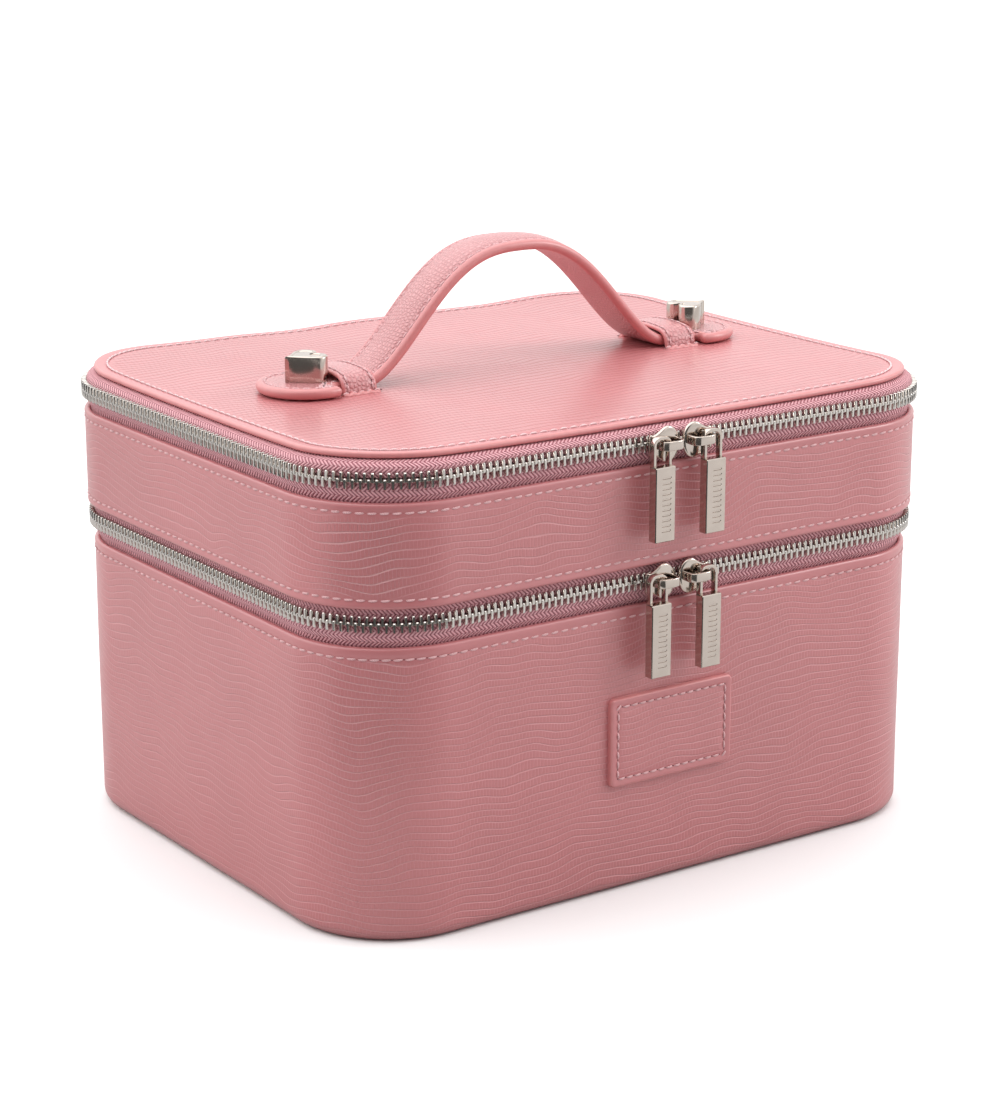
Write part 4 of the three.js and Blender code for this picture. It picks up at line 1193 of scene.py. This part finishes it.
def make_stud(side):
    """A heart stud with its cleft towards the middle of the handle, and the screw under it."""
    sign = SIGN[side]
    low, high = cad(f"heart_stud_{side}")
    length, width = high.x - low.x, high.y - low.y
    turn = np.linspace(0, TAU, 121)[:-1]
    lobes = 16 * np.sin(turn) ** 3
    reach = 13 * np.cos(turn) - 5 * np.cos(2 * turn) - 2 * np.cos(3 * turn) - np.cos(4 * turn)
    heart = np.column_stack([-reach, lobes])[::-1]
    heart -= (heart.max(0) + heart.min(0)) / 2
    heart *= np.array([length, width]) / np.ptp(heart, axis=0)
    mean_radius = (length + width) / 4

    def outline(inset):
        return heart * (1 - inset / mean_radius)

    tall = high.z - low.z
    profile = [(1.0, 0.0), (0.3, 0.0), (0.0, 0.25), (0.0, tall - 0.75), (0.08, tall - 0.45),
               (0.30, tall - 0.2), (0.62, tall - 0.06), (1.0, tall - 0.02), (1.6, tall - 0.04),
               (1.85, tall - 0.14), (2.1, tall - 0.30), (2.5, tall - 0.32)]
    shape = Shape()
    pad(shape, outline, profile, level(low.z), steps=8)
    centre = (low + high) / 2
    shape.place(lambda a, b, h: (centre.x + sign * a, centre.y + b, h))
    body = f"handle_end_{side}"
    shape.build(f"heart_stud_metal_{side}", [nickel], "nickel", f"heart_stud_{side}", body=body, sharp=30)

    low, high = cad(f"stud_screw_{side}")
    centre, head = (low + high) / 2, (high.x - low.x) / 2
    shape = Shape()
    tall = high.z - low.z
    profile = [(0.5, 0.0), (0.0, 0.15), (0.0, 0.85), (0.3, 1.0), (head - 1.5, 1.05),
               (head - 1.5, tall - 0.4), (head - 1.2, tall)]
    disc = arc(0, 0, head, 0, 360, 40)[:-1]
    pad(shape, disc, profile, level(low.z), steps=3)
    shape.place(lambda a, b, h: (centre.x + a, centre.y + b, h))
    shape.build(f"stud_screw_metal_{side}", [nickel], "nickel", f"stud_screw_{side}", body=body, sharp=30)


def keeper_seam(shape, centre, half_long, away, sign):
    """A puckered welt of lid leather that a keeper's foot is sewn into, running along X."""
    along = np.linspace(-1, 1, 45)
    turn = np.linspace(0, TAU, 17)[:-1]
    reach = (half_long + 0.9) * along
    fullness = np.sqrt(np.clip(1 - np.abs(along) ** 8, 0.002, 1))
    pucker = 1 + 0.28 * np.cos(reach * TAU / WELT_PITCH) * (1 - along ** 6)
    wide = WELT_WIDTH * fullness[:, None] * np.cos(turn)
    tall = WELT_HEIGHT * (fullness * pucker)[:, None] * np.sin(turn)
    rows = [np.broadcast_to(centre.x + reach[:, None], wide.shape), centre.y + sign * away + wide,
            PANEL_TOP - 0.05 + tall]
    run, round_it = np.broadcast_arrays(reach[:, None], np.append(turn, TAU)[None] * 1.3)
    first = shape.lattice(np.stack(rows, -1), np.stack([run, round_it], -1), wrap=True, slot=1)
    for row in (0, len(along) - 1):
        shape.cap(first + row * len(turn), 1, np.column_stack([np.cos(turn), np.sin(turn)]), 1)


def make_keeper(side):
    """A leather bridge over the strap whose feet are sewn into the lid."""
    low, high = cad(f"keeper_loop_{side}")
    centre = (low + high) / 2
    half_long = (high.x - low.x) / 2
    thick, bead = KEEPER_THICKNESS, 0.7
    leg = (high.y - low.y) / 2 - KEEPER_WING - thick
    floor = PANEL_TOP - STRAP_BOTTOM
    arch = [(leg + 0.9, floor - 0.9), (leg + 0.5, floor + 0.9), (leg, 2.4), (leg - 0.9, 3.9), (leg - 2.6, 4.9),
            (leg - 5.5, 5.3), (leg - 9.0, 5.5)]
    path = rounded([(-a, z) for a, z in arch] + [(0, 5.6)] + arch[::-1], 3) + (centre.y, STRAP_BOTTOM)
    right = arc(half_long - bead, bead, bead, -90, 90, 5)
    dip = [(1.3, 0.04), (1.9, 0.24), (2.5, 0.04), (4.2, -0.05)]
    top = [(half_long - d, thick - h) for d, h in dip] + [(d - half_long, thick - h) for d, h in dip[::-1]]
    left = arc(bead - half_long, bead, bead, 90, 270, 5)
    section = np.array([*right, *top, *left])
    slots = np.array([1] * (len(right) - 1) + [0] * (len(top) + 1) + [1] * (len(left) - 1) + [0])
    shape = Shape()
    ribbon(shape, path, section, 1, centre.x, slot=slots[None, :], grain_from=60)
    for sign in (-1, 1):
        keeper_seam(shape, centre, half_long, leg + thick + 0.7, sign)
    shape.build(f"strap_keeper_{side}", STRAP_SKINS, "leather", f"keeper_loop_{side}", body="lid")

    along = directions(path)
    up = np.column_stack([np.zeros(len(path)), -along[:, 1], along[:, 0]])
    thread_shape = Shape()
    for across in (half_long - KEEPER_STITCH_INSET, KEEPER_STITCH_INSET - half_long):
        middle = np.column_stack([np.full(len(path), centre.x + across), path])
        stitch_along(thread_shape, (middle + up * (thick - 0.1))[8:-8], up[8:-8], pitch=3.3)
    for sign in (-1, 1):
        seam = [(x, centre.y + sign * (leg + thick + 1.0), PANEL_TOP + 0.65) for x in (low.x - 1, high.x + 1)]
        stitch_along(thread_shape, seam, (0, sign * 0.3, 0.95), pitch=3.4)
    thread_shape.build(f"keeper_stitching_{side}", STITCHING, "edge_leather", body="lid")


# ------------------------------------------------------------------------- sliders and pulls
def make_slider(level_name, side):
    """A slider's domed plate, and the crown over it that the pull hooks on."""
    sign = SIGN[side]
    node_name = f"slider_plate_{level_name}_{side}"
    low, high = cad(node_name)
    middle, thick = (low + high) / 2, high.y - low.y
    half, tall = (high.x - low.x) / 2, (high.z - low.z) / 2
    upper = [(half, 0), (0.95 * half, 0.42 * tall), (0.74 * half, 0.80 * tall), (0.36 * half, 0.99 * tall),
             (0.02 * half, 0.95 * tall), (-0.26 * half, 0.76 * tall), (-0.55 * half, 0.60 * tall),
             (-0.80 * half, 0.52 * tall), (-0.83 * half, 0.60 * tall), (-1.0 * half, 0.58 * tall)]
    outline = inset_outline(closed_rounded([*upper, *[(a, -b) for a, b in upper[:0:-1]]]), -0.1)

    def domed(a, b):
        return thick + 0.55 * np.clip(1 - (a / half) ** 2 * 0.8 - (b / tall) ** 2 * 0.6, 0, 1) - 0.35

    shape = Shape()
    profile = [(0.6, 0.4 - thick), (0.1, 0.4 - thick), (0.0, 0.6 - thick), (0.0, -0.45), (0.12, -0.18),
               (0.35, -0.03), (0.8, 0.0)]
    pad(shape, outline, profile, domed, steps=7)
    body = f"{level_name}_{side}_slider"
    shape.place(lambda a, b, h: (middle.x - sign * a, high.y - h, middle.z + b))
    shape.build(f"slider_body_{level_name}_{side}", [nickel], "nickel", node_name, body=body, sharp=40)

    node_name = f"slider_crown_{level_name}_{side}"
    low, high = cad(node_name)
    middle, reach, band = (low + high) / 2, high.y - low.y, (high.z - low.z) / 2
    half = (high.x - low.x) / 2
    gauge = 0.95
    path = rounded([(half - gauge, -0.6), (half - gauge, reach - 2.0), (half - gauge - 0.7, reach - gauge),
                    (0, reach - gauge + 0.1), (gauge + 0.6 - half, reach - gauge), (gauge - half, reach - 1.8),
                    (gauge - half, -0.6)], 3)
    bead = 0.3
    wide, front = band - bead, gauge - bead
    corners = ((wide, bead), (wide, front), (-wide, front), (-wide, bead))
    section = np.concatenate([arc(*place, bead, 90 * k - 90, 90 * k, 3) for k, place in enumerate(corners)])
    shape = Shape()
    ribbon(shape, path[::-1], section, 0, 0.0)
    shape.place(lambda a, b, h: (middle.x - sign * a, high.y - h, middle.z + b))
    shape.build(f"slider_bridge_{level_name}_{side}", [nickel], "nickel", node_name, body=body, sharp=40)


def pull_bar(shape, half, thick, bottom):
    """A square bar with fine bevelled edges and a column of short grip notches on its face."""
    bevel, deep = 0.28, 0.22
    notch_left, notch_right, slope, tall = -1.4, 2.2, 0.12, 0.42
    across = np.array([-half, -half + bevel, notch_left, notch_left + slope, notch_right - slope, notch_right,
                       half - bevel, half])
    heights, sunk = [bottom + bevel], [0]
    first = (PULL_BAR_TOP + bottom) / 2 - NOTCH_PITCH * (NOTCH_COUNT - 1) / 2
    for k in range(NOTCH_COUNT):
        middle = first + k * NOTCH_PITCH
        heights += [middle - tall / 2 - slope, middle - tall / 2, middle + tall / 2, middle + tall / 2 + slope]
        sunk += [0, 1, 1, 0]
    heights += [PULL_BAR_TOP - bevel]
    sunk += [0]
    notched = np.isin(np.arange(8), (3, 4))
    front = np.where(np.isin(np.arange(8), (0, 7)), thick - bevel, thick)
    rows = []
    for height, low in zip(heights, sunk):
        face = [(a, height, h) for a, h in zip(across, front - deep * low * notched)]
        back = [(half, height, bevel), (half - bevel, height, 0), (bevel - half, height, 0),
                (-half, height, bevel)]
        rows.append([*face, *back])
    points = np.array(rows)
    caps = points[[0, -1]].copy()
    caps[..., 0] = np.clip(caps[..., 0], bevel - half, half - bevel)
    caps[..., 1] += np.array([[-bevel], [bevel]])
    caps[..., 2] = np.clip(caps[..., 2], bevel, thick - bevel)
    points = np.concatenate([caps[:1], points, caps[1:]])
    grain = points[..., :2]
    start = shape.lattice(points, np.concatenate([grain, grain[:, :1]], 1), wrap=True)
    n = points.shape[1]
    for row in (0, len(points) - 1):
        shape.cap(start + row * n, 1, points[row][:, :2])


def make_pull(level_name, side):
    """A pull: a notched bar under a loop that hooks on the slider's crown."""
    node_name = f"zip_pull_{level_name}_{side}"
    low, high = cad(node_name)
    body = f"{level_name}_{side}_pull"
    pivot = next(j for j in frame["joints"] if j["child"] == body)["pos_m"][2] / MM
    half, centre = (high.x - low.x) / 2, (low.x + high.x) / 2
    shape = Shape()
    pull_bar(shape, half, high.y - low.y - PULL_BAR_FORWARD, low.z - pivot)
    shape.place(lambda a, b, h: (a, b, h + PULL_BAR_FORWARD))

    wire, bend, deep = 0.58, 2.3, 1.1
    leg = half - 0.3 - wire
    top = high.z - pivot - wire
    foot, shoulder = PULL_BAR_TOP - 0.8, top - bend
    line = [(-leg, foot), (-leg, shoulder - 0.3), *arc(bend - leg, shoulder, bend, 180, 90, 8),
            *arc(leg - bend, shoulder, bend, 90, 0, 8), (leg, shoulder - 0.3), (leg, foot)]
    section = box_outline(2 * deep, 2 * wire, 0.25, 3, 4.0)(0)
    loop = Shape()
    ribbon(loop, line, section, 0, PULL_LOOP_DEPTH / 2 + 0.2)
    loop.place(lambda a, h, b: (a, b, h))
    shape.solid(np.concatenate(loop.points), loop.faces)
    shape.place(lambda a, b, h: (centre + a, high.y - h, pivot + b))
    shape.build(f"pull_{level_name}_{side}", [nickel], "nickel", node_name, body=body, sharp=25)


def make_stop(level_name, side):
    """The folded metal staple at the end of a chain."""
    node_name = f"{level_name}_zip_stop_{side}"
    low, high = cad(node_name)
    middle = (low + high) / 2
    outline = box_outline(high.x - low.x, high.z - low.z, 0.5, 4, 1.0)
    thick = high.y - low.y
    shape = Shape()
    profile = [(0.5, 0.0), (0.0, 0.3), (0.0, thick - 0.4), (0.12, thick - 0.12), (0.5, thick)]
    pad(shape, outline, profile, level(0.0), steps=3)
    shape.place(lambda a, b, h: (middle.x + a, low.y + h, middle.z + b))
    body = "base" if level_name == "lower" else "tier"
    shape.build(f"{level_name}_chain_stop_{side}", [nickel], "nickel", node_name, body=body, sharp=40)


def make_panels():
    """The mirror and the floor board of the tier."""
    low, high = cad("lid_mirror")
    middle = ((low.x + high.x) / 2, (low.y + high.y) / 2)
    outline = box_outline(high.x - low.x, high.y - low.y, 8, 8, 3.0)(0) + middle
    profile = [(1.0, high.z), (0.1, high.z), (0, high.z - 0.2), (0, low.z + 0.5), (0.8, low.z), (2, low.z)]
    shape = Shape()
    pad(shape, outline, profile, level(0.0), steps=3)
    shape.build("mirror_plate", [mirror_glass], "mirror", "lid_mirror", body="lid", sharp=15)
    low, high = cad("tier_floor")
    profile = [(3, high.z), (0.3, high.z), (0, high.z - 0.3), (0, low.z + 0.5), (0.5, low.z), (6, low.z)]
    shape = Shape()
    pad(shape, plan.outline(HALF_X - high.x, 5.0, 1.8), profile, level(0.0), steps=5)
    shape.build("tier_floor_board", [lining_cloth], "board", "tier_floor", body="tier")


# ------------------------------------------------------------------------ camera, light, floor
def stage_sheet(name, points, faces):
    """A sheet of the studio with a material of its own. Returns it, its node tree and its shader."""
    mesh = bpy.data.meshes.new(name)
    mesh.from_pydata(points, [], faces)
    sheet = bpy.data.objects.new(name, mesh)
    bpy.context.scene.collection.objects.link(sheet)
    material = bpy.data.materials.new(name)
    material.use_nodes = True
    mesh.materials.append(material)
    return sheet, material.node_tree, material.node_tree.nodes["Principled BSDF"]


def make_stage():
    """The white floor, a dark card that only shows in reflections, the lights and the camera."""
    scene = bpy.context.scene
    scene.view_settings.view_transform = "Standard"
    r = FLOOR_REACH
    corners = [(-r, -r, 0), (r, -r, 0), (r, r, 0), (-r, r, 0)]
    _, tree, shader = stage_sheet("studio_floor", corners, [(0, 1, 2, 3)])
    seen = node(tree, "LightPath").outputs["Is Camera Ray"]
    colour = blend_colour(tree, seen, (0.50, 0.50, 0.50), (0.93, 0.93, 0.93))
    tree.links.new(colour, shader.inputs["Base Color"])
    shader.inputs["Roughness"].default_value = 0.9

    turns = np.radians(np.linspace(*CARD_TURN, CARD_PARTS + 1))
    points = [(away * math.sin(a), -away * math.cos(a), CARD_HEIGHT) for away in CARD_REACH for a in turns]
    faces = [(k, k + 1, k + CARD_PARTS + 2, k + CARD_PARTS + 1) for k in range(CARD_PARTS)]
    card, _, shader = stage_sheet("dark_card", points, faces)
    shader.inputs["Base Color"].default_value = (0.03, 0.03, 0.03, 1)
    shader.inputs["Roughness"].default_value = 1.0
    card.visible_camera = card.visible_diffuse = card.visible_shadow = False

    world = bpy.data.worlds.new("studio")
    scene.world = world
    world.use_nodes = True
    tree = world.node_tree
    direction = node(tree, "TexCoord").outputs["Generated"]
    toward = node(tree, "VectorMath", {0: direction, 1: DARK_SIDE}, operation="DOT_PRODUCT").outputs["Value"]
    graded = fade(tree, toward, 0.35, 0.85, 1.12, 0.12)
    seen = node(tree, "LightPath").outputs["Is Camera Ray"]
    background = tree.nodes["Background"]
    background.inputs["Color"].default_value = (1, 1, 1, 1)
    tree.links.new(calc(tree, "MAXIMUM", graded, seen), background.inputs["Strength"])

    sun = bpy.data.lights.new("ceiling", "SUN")
    sun.energy, sun.angle = CEILING_POWER, math.radians(CEILING_SPREAD)
    ceiling = bpy.data.objects.new("ceiling", sun)
    ceiling.rotation_euler = Vector(CEILING_FROM).to_track_quat("Z", "Y").to_euler()
    scene.collection.objects.link(ceiling)
    add_lamp("right_front", place=(1.15, -0.75, 0.85), target=(0.02, -0.1, 0.1), size=0.5, power=6.0)

    camera = bpy.data.cameras.new("camera")
    camera.lens = CAMERA_LENS
    holder = bpy.data.objects.new("camera", camera)
    scene.collection.objects.link(holder)
    azimuth, elevation = math.radians(CAMERA_AZIMUTH), math.radians(CAMERA_ELEVATION)
    back = Vector((math.sin(azimuth) * math.cos(elevation), -math.cos(azimuth) * math.cos(elevation),
                   math.sin(elevation)))
    holder.location = Vector(CAMERA_TARGET) + CAMERA_DISTANCE * back
    holder.rotation_euler = (-back).to_track_quat("-Z", "Y").to_euler()
    scene.camera = holder


def add_lamp(name, place, target, size, power):
    """A square lamp at a place, turned to a target."""
    lamp = bpy.data.lights.new(name, "AREA")
    lamp.size, lamp.energy = size, power
    holder = bpy.data.objects.new(name, lamp)
    holder.location = place
    holder.rotation_euler = (Vector(target) - Vector(place)).to_track_quat("-Z", "Y").to_euler()
    bpy.context.scene.collection.objects.link(holder)


make_stage()
make_base_shell()
make_tier_shell()
make_base_floor()
make_tray("base")
make_tray("tier")
make_panels()
make_lid()
make_lid_inside()
make_zips()
make_hinges()
make_patch()
make_strap()
for side in ("left", "right"):
    make_tab(side)
    make_stud(side)
    make_keeper(side)
    for level_name in ("upper", "lower"):
        make_slider(level_name, side)
        make_pull(level_name, side)
        make_stop(level_name, side)
